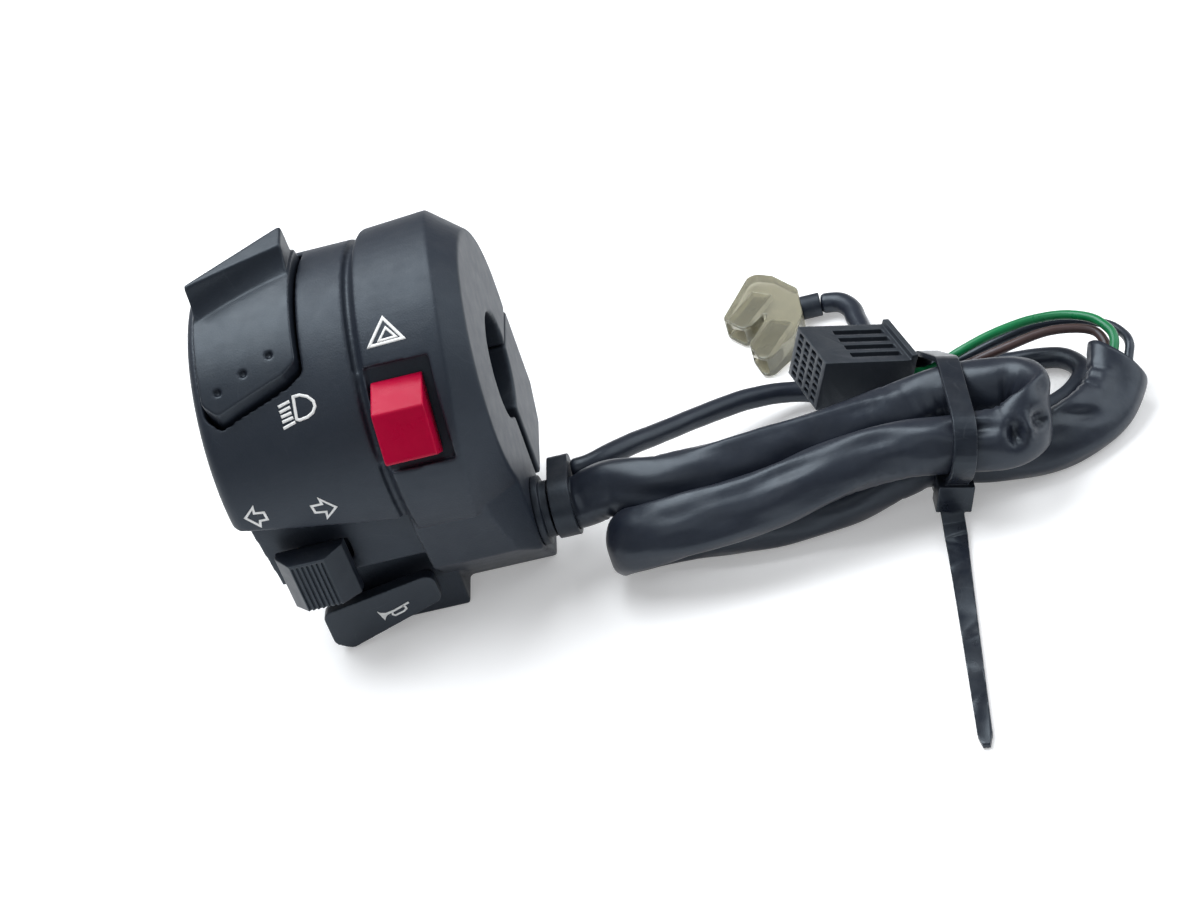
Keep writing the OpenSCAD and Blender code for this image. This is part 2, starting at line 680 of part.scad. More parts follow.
module hazard_base() color(board_tan) at_angle(hazard_angle) difference() {
    box([rail_left, -rail_v, hazard_base_top - base_t], [rail_right + rail_w, rail_v, hazard_base_top]);
    for (x = [rail_left + rail_w / 2, rail_right + rail_w / 2])
        translate([x, 0, hazard_base_top - base_t - 1])
            cylinder(h = base_t + 2, r = rail_w / 2 - 0.35 + run_fit);
}

module hazard_contact() color(copper) at_angle(hazard_angle)
    box([hazard_x - 4, -4, slide_low - contact_t], [hazard_x + 4, 2, slide_low]);

// Turn switch
module knob_slab(y, w, low, high) box([turn_x - w / 2, y, low], [turn_x + w / 2, y + 0.6, high]);

module turn_knob() color(dark_plastic) difference() {
    hull() {
        knob_slab(knob_back - 0.6, turn_knob_w, knob_low, knob_high - 0.8);
        knob_slab(knob_back - 2.4, turn_knob_w - 0.4, knob_low, knob_high - 0.4);
        knob_slab(knob_front, turn_knob_w / 2, knob_low + 1.4, knob_high);
    }
    translate([turn_x, 0, turn_z]) rod_y(knob_bore_end, knob_back + 1, post_r + run_fit);
    for (i = [0:rib_count - 1])
        translate([turn_x + (i - (rib_count - 1) / 2) * turn_knob_w / 2 / rib_count, 0, 0])
            box([-0.25, knob_front - 1, knob_low], [0.25, knob_front + 0.5, knob_high - 0.6]);
}

module turn_slider() color(dark_plastic) {
    box([turn_x - neck_w / 2, panel_y - 0.2, turn_z - neck_h / 2],
        [turn_x + neck_w / 2, plate_y + 0.5, turn_z + neck_h / 2]);
    box([turn_x - neck_w / 2, plate_y, turn_z - neck_h / 2 - 0.9],
        [turn_x + plate_right, plate_y + plate_t, turn_z + neck_h / 2 + 0.9]);
    translate([turn_x, 0, turn_z]) rod_y(post_tip, panel_y + 1, post_r);
}

module turn_spring() color(steel) translate([turn_x, post_tip, turn_z]) rotate([90, 0, 0])
    coil(1.8, 0.5, 3, post_tip - knob_bore_end);

module turn_base() color(board_tan) difference() {
    box([turn_base_left, turn_base_y, panel_floor],
        [turn_base_right, turn_base_y + turn_base_t, turn_post_z + 2]);
    for (x = [turn_post_left, turn_post_right])
        translate([x, 0, turn_post_z])
            rod_y(turn_base_y - 1, turn_base_y + turn_base_t + 1, small_screw_r + run_fit);
}

module turn_contact() color(copper) box([turn_x - 1, plate_y + plate_t, turn_z - 1.4],
    [turn_x + 9, plate_y + plate_t + contact_t, turn_z + 1.4]);

// Horn
module horn_button() color(black_plastic) {
    prism_y(horn_back - horn_t, horn_back, rounded([[horn_left - horn_tab, horn_high_left],
        [block_left - 0.8, horn_high_right], [block_left - 0.6, horn_low_right],
        [horn_left - 0.4, floor_z + 0.3], [horn_left - horn_tab, floor_z + 2.4]], 2));
    box([horn_x - stem_x / 2, horn_back - 0.5, horn_z - stem_z / 2],
        [horn_x + stem_x / 2, flange_y + 0.5, horn_z + stem_z / 2]);
    box([horn_x - flange_x / 2, flange_y, horn_z - flange_z / 2],
        [horn_x + flange_x / 2, flange_y + flange_t, horn_z + flange_z / 2]);
}

module horn_spring() color(steel) translate([horn_x, flange_y + flange_t, horn_z]) rotate([-90, 0, 0])
    coil(2.6, 0.7, 5, horn_base_y - flange_y - flange_t);

module horn_base() color(board_tan) box([horn_x - 5, horn_base_y, horn_z - 4],
    [horn_x + 9.6, horn_base_y + horn_base_t, horn_z + 4]);

module horn_contact() color(copper) {
    box([blade_x, flange_y + 3, horn_z - 1.2], [blade_x + 0.8, horn_base_y, horn_z + 1.2]);
    box([blade_x, horn_base_y - 0.6, horn_z - 1.2], [blade_x + 2.4, horn_base_y, horn_z + 1.2]);
}

// Fixed contacts of the three sliding and rocking switches
module contact_studs() color(brass) {
    at_angle(rocker_angle) for (s = [-1, 1]) for (x = [-2, 2])
        translate([turn_x + x, 8 * s, base_top])
            cylinder(h = foot_low - contact_t - base_top - 1.4, r = stud_r);
    at_angle(hazard_angle) for (x = [-2.4, 2.4])
        translate([hazard_x + x, -1, hazard_base_top])
            cylinder(h = slide_low - contact_t - hazard_base_top - gap, r = stud_r);
    for (x = [1.4, 4, 6.6])
        translate([turn_x + x, 0, turn_z])
            rod_y(plate_y + plate_t + contact_t + gap, turn_base_y, stud_r / 1.5);
}

module module_screws() color(steel) {
    for (x = [turn_post_left, turn_post_right]) translate([x, 0, turn_post_z]) {
        rod_y(turn_base_y - small_screw_l + 0.4, turn_base_y + turn_base_t + 0.5, small_screw_r);
        rod_y(turn_base_y + turn_base_t, turn_base_y + turn_base_t + small_head_t, small_head_r);
    }
    at_angle(hazard_angle) for (x = [rail_left + rail_w / 2, rail_right + rail_w / 2])
        translate([x, 0, hazard_base_top - base_t]) {
            translate([0, 0, -small_head_t]) cylinder(h = small_head_t, r = small_head_r - 0.5);
            translate([0, 0, -0.5]) cylinder(h = base_t + small_screw_l - 0.9, r = rail_w / 2 - 0.35);
        }
}

// Wires inside the housing, from each base to the grommet
loom_r = 0.7;
loom_steps = 3;
loom_y = turn_base_y + turn_base_t + 0.3;
loom_start = 3.4;
horn_loom_y = horn_base_y - 0.3;
loom_pass_y = (foot_y + slot_in) / 2;
loom_routes = [
    [[turn_x + 6, loom_y, turn_z], [turn_x + 6, loom_y + loom_start, turn_z - 1.6],
        [turn_x + 11, loom_y + 4.4, panel_low - 0.6], [4, loom_pass_y + 0.6, exit_z - 1],
        [13, loom_pass_y, exit_z - 1.4], [grommet_tip - 0.6, exit_y + 1.4, exit_z - 1]],
    [[turn_x + 13, loom_y, turn_z], [turn_x + 13, loom_y + loom_start, turn_z - 1.6],
        [turn_x + 17.4, loom_y + 4.4, panel_low - 0.8], [9, loom_pass_y + 0.4, exit_z + 1],
        [15, loom_pass_y, exit_z + 1.4], [grommet_tip - 0.6, exit_y + 1.6, exit_z + 1.4]],
    [[horn_x + 8.4, horn_loom_y, horn_z + 2.6], [horn_x + 8.4, horn_loom_y - 1.4, horn_z + 2.8],
        [9, loom_pass_y, horn_z + 2.4], [16, loom_pass_y - 1, horn_z + 3.6],
        [grommet_tip - 0.6, exit_y - 1.4, exit_z - 1.4]]];

module inner_loom() color(wire_brown) {
    for (p = loom_routes) tube(smooth(p, loom_steps), loom_r, 6);
}

// Where the harness leaves the housing
module cable_grommet() color(rubber_black) translate([0, exit_y, exit_z]) difference() {
    union() {
        rod_x(right_in - grommet_rim_t, right_in, grommet_rim);
        rod_x(right_in - 0.2, body_right + 0.2, grommet_neck);
        rod_x(body_right, body_right + grommet_rim_t, grommet_rim);
        rod_x(body_right + 0.5, grommet_tip, sleeve_r + 0.6);
    }
    rod_x(right_in - 5, grommet_tip + 1, grommet_bore);
}

module grommet_tie() color(rubber_black) difference() {
    translate([band_x, 0, 0]) rotate([90, 0, 90]) linear_extrude(band_l) hull() {
        translate([exit_y, exit_z]) circle(r = sleeve_r + band_t);
        translate([lead_y, lead_z]) circle(r = lead_r + band_t);
    }
    translate([0, exit_y, exit_z]) rod_x(band_x - 1, band_x + band_l + 1, sleeve_r + 0.3);
}

// Harness
sleeve_pts = smooth(sleeve_route, 2);
lead_pts = smooth(lead_route, 3);
sleeve_end = len(sleeve_pts) - 1;
end_dirs = tangents(sleeve_pts);
end_side = sides(end_dirs)[sleeve_end];
function at_sleeve_end(a, b, d) =
    let (t = end_dirs[sleeve_end])
    sleeve_pts[sleeve_end] + a * end_side + b * cross(t, end_side) + d * t;
function at_conn_back(x, y, z) = conn_back + x * conn_along + y * conn_across + z * conn_up;
function wire_route(y, z, middle, a, b) =
    smooth(concat([at_conn_back(end_gap, y, z)], middle,
        [at_sleeve_end(a, b, 3.6), at_sleeve_end(a, b, end_gap)]), 3);
green_pts = wire_route(-5.6, 1.2, green_middle, 0.4, 2.4);
brown_pts = wire_route(-3.2, 0.2, brown_middle, 2.4, 0);
dark_pts = wire_route(-1, -1.2, dark_middle, -2.4, 0.6);
module harness_sleeve() color(sleeve_black) tube(sleeve_pts, sleeve_r, 10);
module clutch_lead() color(sleeve_black) tube(lead_pts, lead_r, 8);
module green_wire() color(wire_green) tube(green_pts, wire_r, 8);
module brown_wire() color(wire_brown) tube(brown_pts, wire_r, 8);
module dark_wire() color(sleeve_black) tube(dark_pts, wire_r, 8);

module at_connector() translate(at_conn_back(-conn_l / 2, 0, 0)) rotate([0, conn_pitch, conn_yaw]) children();

module socket_grid(depth0, depth1, w) {
    for (c = [0:socket_cols - 1]) for (r = [0:socket_rows - 1])
        translate([-conn_l / 2, (c - (socket_cols - 1) / 2) * conn_w / (socket_cols + 0.6),
            (r - (socket_rows - 1) / 2) * conn_h / (socket_rows + 0.6)])
            box([depth0, -w, -w / 2], [depth1, w, w / 2]);
}

module connector_body() color(dark_plastic) at_connector() difference() {
    union() {
        box([-conn_l / 2, -conn_w / 2, -conn_h / 2], [conn_l / 2, conn_w / 2, conn_h / 2]);
        box([conn_l / 2 - 1.4, -conn_w / 2, conn_h / 2 - 1], [conn_l / 2, conn_w / 2, conn_h / 2 + 1.2]);
    }
    socket_grid(-1, socket_depth, (conn_h / socket_rows) * 0.62);
    for (i = [0:3])
        translate([0, (i - 1.5) * conn_w / 5, 0])
            box([-conn_l / 2 + 7, -0.9, conn_h / 2 - 1.2], [conn_l / 2 - 2.4, 0.9, conn_h / 2 + 2]);
}

module connector_terminals() color(brass) at_connector()
    socket_grid(socket_depth - 3, socket_depth, (conn_h / socket_rows) * 0.62 - 0.2);

// Two open boots joined by a yoke, each over a blade terminal
module at_boot_leg(leg) translate([boot_at[0] + leg[0], boot_at[1] + leg[1], boot_at[2]])
    rotate([0, 0, leg[2]]) children();

module terminal_boots() color(clear_boot) difference() {
    translate([boot_at[0], boot_at[1], boot_at[2] - boot_h / 2]) linear_extrude(boot_h)
        polygon(rounded(boot_outline, boot_round));
    for (leg = boot_legs) at_boot_leg(leg)
        box([-4, -boot_pocket[1] / 2, -boot_h / 2 + boot_wall],
            [boot_pocket[0], boot_pocket[1] / 2, boot_h / 2 - boot_wall]);
}

module blade_terminals() color(brass) for (leg = boot_legs) at_boot_leg(leg)
    box([boot_pocket[0] - blade[0], -blade[1] / 2, -blade[2] / 2],
        [boot_pocket[0], blade[1] / 2, blade[2] / 2]);

module lead_sleeve() color(rubber_black) translate([0, lead_route[len(lead_route) - 1][1], boot_at[2]]) {
    rod_x(boot_face, boot_face + sleeve_stub, lead_r + 0.4);
}

// Cable tie: a closed strap round the bundle, its head and its tail on the floor
module tie_outline(extra) hull() for (r = tie_runs)
    translate([r[0], r[1]]) circle(r = r[2] + tie_fit + extra, $fn = 32);
function ribbon(p, t) =
    let (d = tangents(p), m = len(p) - 1)
    concat([for (i = [0:m]) p[i] + [-d[i][1], d[i][0]] * t / 2],
        [for (i = [0:m]) p[m - i] - [-d[m - i][1], d[m - i][0]] * t / 2]);

module bundle_tie() color(rubber_black) {
    translate([tie_x, 0, tie_z]) rotate([0, tie_lean, 0]) {
        translate([-tie_w / 2, 0, 0]) rotate([90, 0, 90]) linear_extrude(tie_w) difference() {
            tie_outline(tie_t);
            tie_outline(0);
        }
        translate([0, tie_head_at[0], tie_head_at[1] - tie_z])
            cube(tie_head, center = true);
    }
    translate([tie_tail_x, tie_tail[0][0], 0]) rotate([0, 0, tie_tail_turn])
        translate([0, -tie_tail[0][0], 0]) prism_x(-tie_w / 2, tie_w / 2, ribbon(smooth(tie_tail, 2), tie_t));
}

echo(sleeve_length = route_length(sleeve_pts), lead_length = route_length(lead_pts));
echo(sleeve_gap = least_gap(sleeve_pts, sleeve_d), lead_gap = least_gap(lead_pts, lead_d));
echo(wire_lengths = [route_length(green_pts), route_length(brown_pts), route_length(dark_pts)]);

front_housing();
rear_clamp();
clamp_screws();
beam_rocker();
beam_pivot_pin();
beam_base();
beam_contact();
beam_detent_spring();
beam_detent_ball();
hazard_knob();
hazard_slider();
hazard_base();
hazard_contact();
turn_knob();
turn_slider();
turn_base();
turn_contact();
turn_spring();
horn_button();
horn_base();
horn_contact();
horn_spring();
contact_studs();
module_screws();
inner_loom();
cable_grommet();
grommet_tie();
harness_sleeve();
clutch_lead();
lead_sleeve();
terminal_boots();
blade_terminals();
connector_body();
connector_terminals();
green_wire();
brown_wire();
dark_wire();
bundle_tie();
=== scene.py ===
"""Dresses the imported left-hand handlebar switch cluster and its tied-up harness."""
import logging
import math
from collections.abc import Callable, Mapping, Sequence
from dataclasses import dataclass, field
from enum import Enum

import bmesh
import bpy
import numpy as np
from mathutils import Matrix, Vector
from mathutils.bvhtree import BVHTree


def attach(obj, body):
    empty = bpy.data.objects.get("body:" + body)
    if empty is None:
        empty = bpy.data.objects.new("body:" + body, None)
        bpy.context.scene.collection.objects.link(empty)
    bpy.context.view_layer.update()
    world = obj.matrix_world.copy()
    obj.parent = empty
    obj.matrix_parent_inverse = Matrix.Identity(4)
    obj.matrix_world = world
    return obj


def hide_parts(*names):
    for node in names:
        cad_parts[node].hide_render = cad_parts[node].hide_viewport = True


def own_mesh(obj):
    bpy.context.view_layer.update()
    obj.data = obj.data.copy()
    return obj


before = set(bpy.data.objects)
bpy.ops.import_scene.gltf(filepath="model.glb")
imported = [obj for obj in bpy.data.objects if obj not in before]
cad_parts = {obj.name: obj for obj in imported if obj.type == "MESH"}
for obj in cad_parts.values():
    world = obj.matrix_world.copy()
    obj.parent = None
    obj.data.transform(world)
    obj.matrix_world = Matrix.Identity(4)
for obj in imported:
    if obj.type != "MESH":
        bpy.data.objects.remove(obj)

LOG = logging.getLogger("switch_cluster")
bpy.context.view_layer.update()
MM = 0.001
TINY = 1e-9
FULL_TURN = 2 * math.pi
FLOOR_Z = -0.0421
CURVE_STEPS = 24
FEWEST_RINGS = 8

Colour = tuple[float, float, float]
Point = tuple[float, float, float]
Flat = tuple[float, float]
Array = np.ndarray
Spot = tuple[Vector, Vector]
Placer = Callable[[float, float], Spot]
Mesh = bpy.types.Mesh
Piece = bpy.types.Object
Socket = bpy.types.NodeSocket
Sockets = Mapping[str, Socket]

CAMERA_RIGHT: Point = (0.9658, -0.0408, -0.2561)
CAMERA_UP: Point = (0.2256, 0.619, 0.7523)
TO_CAMERA: Point = (0.1279, -0.7843, 0.607)


class Body(Enum):
    """The bodies that a piece can ride on."""

    HOUSING = "housing"
    ROCKER = "rocker"
    HAZARD = "hazard"
    TURN_SLIDE = "turn_slide"
    TURN_PUSH = "turn_push"
    HORN = "horn"


class Slot(Enum):
    """The finishes that the record names."""

    SHELL = "black_shell"
    SWITCH = "black_switch"
    RED = "red_knob"
    ZINC = "zinc_steel"
    RUBBER = "black_rubber"
    SLEEVE = "sleeve_pvc"
    CLEAR = "clear_boot"
    CONNECTOR = "connector_plastic"
    GREEN = "green_wire"
    BROWN = "brown_wire"
    TIE = "tie_nylon"


class Effect(Enum):
    """The surface effects that several finishes share."""

    GRAIN = "moulded_grain"
    RUB_AND_CREASE_HIGHLIGHT = "rubbed_edges_and_crease_highlights"
    DUST = "settled_dust"
    SCUFF = "fine_scuffs"


class NodeBoard:
    """A node tree with short calls for placing and joining nodes."""

    def __init__(self, tree: bpy.types.NodeTree) -> None:
        """Keeps the tree and empties it."""
        self.tree = tree
        tree.nodes.clear()

    def place(self, kind: str, inputs: dict | None = None, **settings: object) -> bpy.types.Node:
        """Adds a node, sets its options and feeds its inputs.

        Args:
            kind: Blender's name for the node.
            inputs: Values or sockets to feed, by socket name or number.
            settings: The node's own options.

        Returns:
            The new node.
        """
        node = self.tree.nodes.new(kind)
        for key, value in settings.items():
            setattr(node, key, value)
        for key, value in (inputs or {}).items():
            if isinstance(value, Socket):
                self.tree.links.new(value, node.inputs[key])
            else:
                node.inputs[key].default_value = value
        return node

    def math(self, operation: str, *values: object) -> Socket:
        """Adds a math node and gives its result."""
        return self.place("ShaderNodeMath", dict(enumerate(values)), operation=operation).outputs[0]

    def spread(self, value: object, low: float, high: float, to_low: float = 0.0,
               to_high: float = 1.0) -> Socket:
        """Maps a value from one range to another and keeps it in that."""
        limits = {1: low, 2: high, 3: to_low, 4: to_high, 0: value}
        return self.place("ShaderNodeMapRange", limits, clamp=True).outputs[0]

    def mix(self, factor: object, first: object, second: object) -> Socket:
        """Mixes two colours by a factor and gives the colour."""
        pair = [c if isinstance(c, Socket) else (*c, 1.0) for c in (first, second)]
        return self.place("ShaderNodeMix", {0: factor, 6: pair[0], 7: pair[1]}, data_type="RGBA",
                          clamp_factor=True).outputs[2]

    def noise(self, scale: object, detail: float, where: Socket,
              roughness: float = 0.55) -> Socket:
        """Adds noise with a scale in waves per metre and gives it, about 0.5 on average."""
        inputs = {"Vector": where, "Scale": scale, "Detail": detail, "Roughness": roughness}
        return self.place("ShaderNodeTexNoise", inputs).outputs[0]

    def bump(self, strength: float, depth: float, height: Socket) -> Socket:
        """Adds a bump from a height and gives the normal."""
        inputs = {"Strength": strength, "Distance": depth, "Height": height}
        return self.place("ShaderNodeBump", inputs).outputs[0]

    def surface(self, inputs: dict[str, object]) -> None:
        """Places the shader with its inputs and joins it to the material's output."""
        shader = self.place("ShaderNodeBsdfPrincipled", inputs)
        self.place("ShaderNodeOutputMaterial", {"Surface": shader.outputs[0]})


def add_object(name: str, data: bpy.types.ID) -> Piece:
    """Puts data in the scene.

    Args:
        name: The object's name.
        data: A mesh, a lamp or a camera.

    Returns:
        The object.
    """
    item = bpy.data.objects.new(name, data)
    bpy.context.scene.collection.objects.link(item)
    return item


def open_material(name: str) -> tuple[bpy.types.Material, NodeBoard]:
    """Starts a material.

    Args:
        name: Its name.

    Returns:
        The material and its board.
    """
    material = bpy.data.materials.new(name)
    material.use_nodes = True
    return material, NodeBoard(material.node_tree)


class EffectShelf:
    """The shader node groups of the shared effects, each built once, with scales per metre."""

    pit_depth: float = 0.45
    mottle_scale: float = 85.0
    gloss_scale: float = 310.0
    scratch_push: float = 0.012
    scratch_width: float = 0.012
    scratch_gap_scale: float = 130.0

    def __init__(self) -> None:
        """Builds every group."""
        self.groups: dict[Effect, bpy.types.NodeTree] = {}
        self._grain()
        self._rub_and_crease_highlight()
        self._dust()
        self._scuff()

    def _open(self, effect: Effect, outputs: Sequence[str],
              **inputs: float) -> tuple[NodeBoard, Sockets, Sockets]:
        """Starts a group with its named sockets.

        Args:
            effect: Which effect it is.
            outputs: The names of its outputs.
            inputs: Its inputs, by name.

        Returns:
            The board, the group's inputs and the coordinates.
        """
        tree = bpy.data.node_groups.new(effect.value, "ShaderNodeTree")
        kind = "NodeSocketFloat"
        for name, value in inputs.items():
            socket = tree.interface.new_socket(name=name, in_out="INPUT", socket_type=kind)
            socket.default_value = value
        for name in outputs:
            tree.interface.new_socket(name=name, in_out="OUTPUT", socket_type=kind)
        self.groups[effect] = tree
        board = NodeBoard(tree)
        given, coords = board.place("NodeGroupInput"), board.place("ShaderNodeTexCoord")
        return board, given.outputs, coords.outputs

    def _mask(self, board: NodeBoard, first: Socket, second: Socket, amount: Socket) -> None:
        """Ends a group with the product of two values and its amount."""
        product = board.math("MULTIPLY", first, second)
        board.place("NodeGroupOutput", {"Mask": board.math("MULTIPLY", product, amount)})

    def _grain(self) -> None:
        """Fine moulded grain with slow mottling and patches of gloss."""
        board, given, coords = self._open(Effect.GRAIN, ("Height", "Mottle", "Gloss"), Scale=2600.0)
        where, scale = coords["Object"], given["Scale"]
        pits = board.place("ShaderNodeTexVoronoi", {"Vector": where, "Scale": scale}).outputs[0]
        fine = board.noise(scale, 2.0, where)
        board.place("NodeGroupOutput", {
            "Height": board.math("MULTIPLY_ADD", pits, self.pit_depth, fine),
            "Mottle": board.spread(board.noise(self.mottle_scale, 4.0, where), 0.3, 0.7),
            "Gloss": board.spread(board.noise(self.gloss_scale, 3.0, where), 0.3, 0.7)})

    def _rub_and_crease_highlight(self) -> None:
        """Handled edges, where the mesh's edge measure is high and noise lets it through; on the
        sleeve and cords this lighter colour on the crease ridges is a painted highlight.
        """
        board, given, coords = self._open(Effect.RUB_AND_CREASE_HIGHLIGHT, ("Mask",), Amount=0.5, Scale=420.0)
        edge = board.place("ShaderNodeAttribute", attribute_name="edge").outputs["Fac"]
        patches = board.spread(board.noise(given["Scale"], 5.0, coords["Object"], 0.65), 0.36, 0.62)
        self._mask(board, board.spread(edge, 0.12, 0.85), patches, given["Amount"])

    def _dust(self) -> None:
        """Dust that has settled on what faces up."""
        board, given, coords = self._open(Effect.DUST, ("Mask",), Amount=0.2, Scale=240.0)
        height = board.place("ShaderNodeSeparateXYZ", {0: coords["Normal"]}).outputs["Z"]
        patches = board.spread(board.noise(given["Scale"], 6.0, coords["Object"], 0.7), 0.42, 0.75)
        self._mask(board, board.spread(height, 0.1, 1.0), patches, given["Amount"])

    def _scuff(self) -> None:
        """Thin wandering scratches."""
        board, given, coords = self._open(Effect.SCUFF, ("Mask",), Amount=0.3, Scale=95.0)
        where = coords["Object"]
        bend = board.place("ShaderNodeTexNoise", {"Vector": where, "Scale": 60.0, "Detail": 2.0})
        push = {0: bend.outputs["Color"], 1: (self.scratch_push,) * 3, 2: where}
        pushed = board.place("ShaderNodeVectorMath", push, operation="MULTIPLY_ADD").outputs[0]
        cells = board.place("ShaderNodeTexVoronoi", {"Vector": pushed, "Scale": given["Scale"]},
                            feature="DISTANCE_TO_EDGE").outputs[0]
        line = board.spread(cells, 0.0, self.scratch_width, 1.0, 0.0)
        gaps = board.spread(board.noise(self.scratch_gap_scale, 2.0, where), 0.5, 0.62)
        self._mask(board, line, gaps, given["Amount"])

    def put(self, board: NodeBoard, effect: Effect, **values: float) -> Sockets:
        """Places one of the groups in a material with its values and gives its outputs."""
        return board.place("ShaderNodeGroup", values, node_tree=self.groups[effect]).outputs


@dataclass(frozen=True)
class PlasticFinish:
    """A moulded plastic or rubber: its colours, gloss, grain, rubbed edges and dust; on the sleeve
    and cords the lighter edge colour on the crease ridges is a painted highlight.
    """

    name: str
    deep: Colour
    pale: Colour
    worn_and_crease_highlight: Colour
    roughness: float = 0.48
    swing: float = 0.08
    grain_scale: float = 2600.0
    grain_depth: float = 0.00003
    grain_strength: float = 0.7
    wear_and_crease_highlight: float = 0.5
    wear_gloss: float = 0.14
    dust: float = 0.2
    dust_matt: float = 0.3
    dust_colour: Colour = (0.32, 0.31, 0.29)
    scuff: float = 0.25
    coat: float = 0.0
    coat_roughness: float = 0.22
    specular: float = 0.5
    sheen_tint: Colour = (0.78, 0.9, 1.0)
    transmission: float = 0.0
    refraction: float = 1.48

    def material(self, shelf: EffectShelf) -> bpy.types.Material:
        """Builds the material.

        Args:
            shelf: The shared effects.

        Returns:
            The material.
        """
        material, board = open_material(self.name)
        grain = shelf.put(board, Effect.GRAIN, Scale=self.grain_scale)
        rub_and_crease_highlight = shelf.put(board, Effect.RUB_AND_CREASE_HIGHLIGHT, Amount=self.wear_and_crease_highlight)["Mask"]
        dust = shelf.put(board, Effect.DUST, Amount=self.dust)["Mask"]
        scuff = shelf.put(board, Effect.SCUFF, Amount=self.scuff)["Mask"]
        colour = board.mix(grain["Mottle"], self.deep, self.pale)
        # Lighter colour on rubbed edges and scuffs; on the sleeve and cords, the same colour on the
        # crease ridges is a painted highlight.
        colour = board.mix(board.math("MAXIMUM", rub_and_crease_highlight, scuff), colour, self.worn_and_crease_highlight)
        colour = board.mix(dust, colour, self.dust_colour)
        smooth, matt = self.roughness - self.swing, self.roughness + self.swing
        rough = board.spread(grain["Gloss"], 0.0, 1.0, smooth, matt)
        rough = board.math("MULTIPLY_ADD", rub_and_crease_highlight, -self.wear_gloss, rough)
        rough = board.math("MULTIPLY_ADD", dust, self.dust_matt, rough)
        board.surface({
            "Base Color": colour, "Roughness": rough,
            "Normal": board.bump(self.grain_strength, self.grain_depth, grain["Height"]),
            "Coat Weight": self.coat, "Coat Roughness": self.coat_roughness,
            "Specular IOR Level": self.specular, "Specular Tint": (*self.sheen_tint, 1.0),
            "Transmission Weight": self.transmission, "IOR": self.refraction})
        return material


@dataclass(frozen=True)
class MetalFinish:
    """A plated or stamped metal with fine marks and dull patches."""

    name: str
    bright: Colour
    dull: Colour
    roughness: float = 0.3
    bright_drop: float = 0.08
    dull_rise: float = 0.14
    grain_scale: float = 5200.0
    grain_depth: float = 0.000008
    grain_strength: float = 0.35
    scuff: float = 0.5
    scuff_scale: float = 260.0
    scuff_matt: float = 0.2

    def material(self, shelf: EffectShelf) -> bpy.types.Material:
        """Builds the material.

        Args:
            shelf: The shared effects.

        Returns:
            The material.
        """
        material, board = open_material(self.name)
        grain = shelf.put(board, Effect.GRAIN, Scale=self.grain_scale)
        scuff = shelf.put(board, Effect.SCUFF, Amount=self.scuff, Scale=self.scuff_scale)
        smooth, matt = self.roughness - self.bright_drop, self.roughness + self.dull_rise
        rough = board.spread(grain["Gloss"], 0.0, 1.0, smooth, matt)
        board.surface({
            "Base Color": board.mix(grain["Mottle"], self.bright, self.dull), "Metallic": 1.0,
            "Roughness": board.math("MULTIPLY_ADD", scuff["Mask"], self.scuff_matt, rough),
            "Normal": board.bump(self.grain_strength, self.grain_depth, grain["Height"])})
        return material


Finish = PlasticFinish | MetalFinish

SHELL_FINISH = PlasticFinish(
    "black_shell_moulding", (0.0095, 0.0128, 0.0215), (0.0115, 0.015, 0.0245), (0.06, 0.07, 0.088),
    roughness=0.5, swing=0.03, grain_depth=0.00004, wear_and_crease_highlight=0.3, dust=0.03, scuff=0.1)
SWITCH_FINISH = PlasticFinish(
    "black_switch_moulding", (0.008, 0.0108, 0.0178), (0.0098, 0.013, 0.0208),
    (0.085, 0.096, 0.112), roughness=0.42, swing=0.04, grain_depth=0.000025, wear_and_crease_highlight=0.6, dust=0.03,
    scuff=0.1)
RED_FINISH = PlasticFinish(
    "red_knob_moulding", (0.4, 0.0003, 0.03), (0.45, 0.0005, 0.036), (0.72, 0.1, 0.2),
    roughness=0.32, grain_depth=0.000012, wear_and_crease_highlight=0.3, dust=0.0, scuff=0.06, specular=0.15,
    sheen_tint=(1.0, 0.8, 0.86))
BOARD_FINISH = PlasticFinish(
    "contact_board_laminate", (0.36, 0.25, 0.12), (0.48, 0.35, 0.19), (0.55, 0.45, 0.3),
    roughness=0.6, grain_scale=900.0, dust=0.1)
RUBBER_FINISH = PlasticFinish(
    "black_moulded_rubber", (0.007, 0.0092, 0.016), (0.0092, 0.012, 0.0198), (0.05, 0.054, 0.062),
    roughness=0.46, grain_depth=0.00002, wear_and_crease_highlight=0.35, dust=0.06)
# The third colour, laid by the edge measure, paints a highlight on the crease ridges of the sleeve
# and cords.
SLEEVE_FINISH = PlasticFinish(
    "soft_black_pvc", (0.0095, 0.0122, 0.0215), (0.0122, 0.0155, 0.026), (0.035, 0.042, 0.056),
    roughness=0.38, swing=0.05, grain_scale=700.0, grain_depth=0.00004, wear_and_crease_highlight=0.25, dust=0.03,
    scuff=0.08, coat=0.08)
CLEAR_FINISH = PlasticFinish(
    "yellowed_clear_pvc", (0.47, 0.45, 0.34), (0.56, 0.54, 0.43), (0.78, 0.77, 0.68), roughness=0.2,
    swing=0.06, grain_scale=500.0, grain_depth=0.00004, wear_and_crease_highlight=0.35, dust=0.06, scuff=0.2,
    transmission=0.8, dust_colour=(0.32, 0.29, 0.21))
CONNECTOR_FINISH = PlasticFinish(
    "grey_black_nylon", (0.016, 0.0192, 0.026), (0.02, 0.0238, 0.0315), (0.07, 0.078, 0.09),
    roughness=0.44, swing=0.05, grain_depth=0.00003, wear_and_crease_highlight=0.4, dust=0.05)
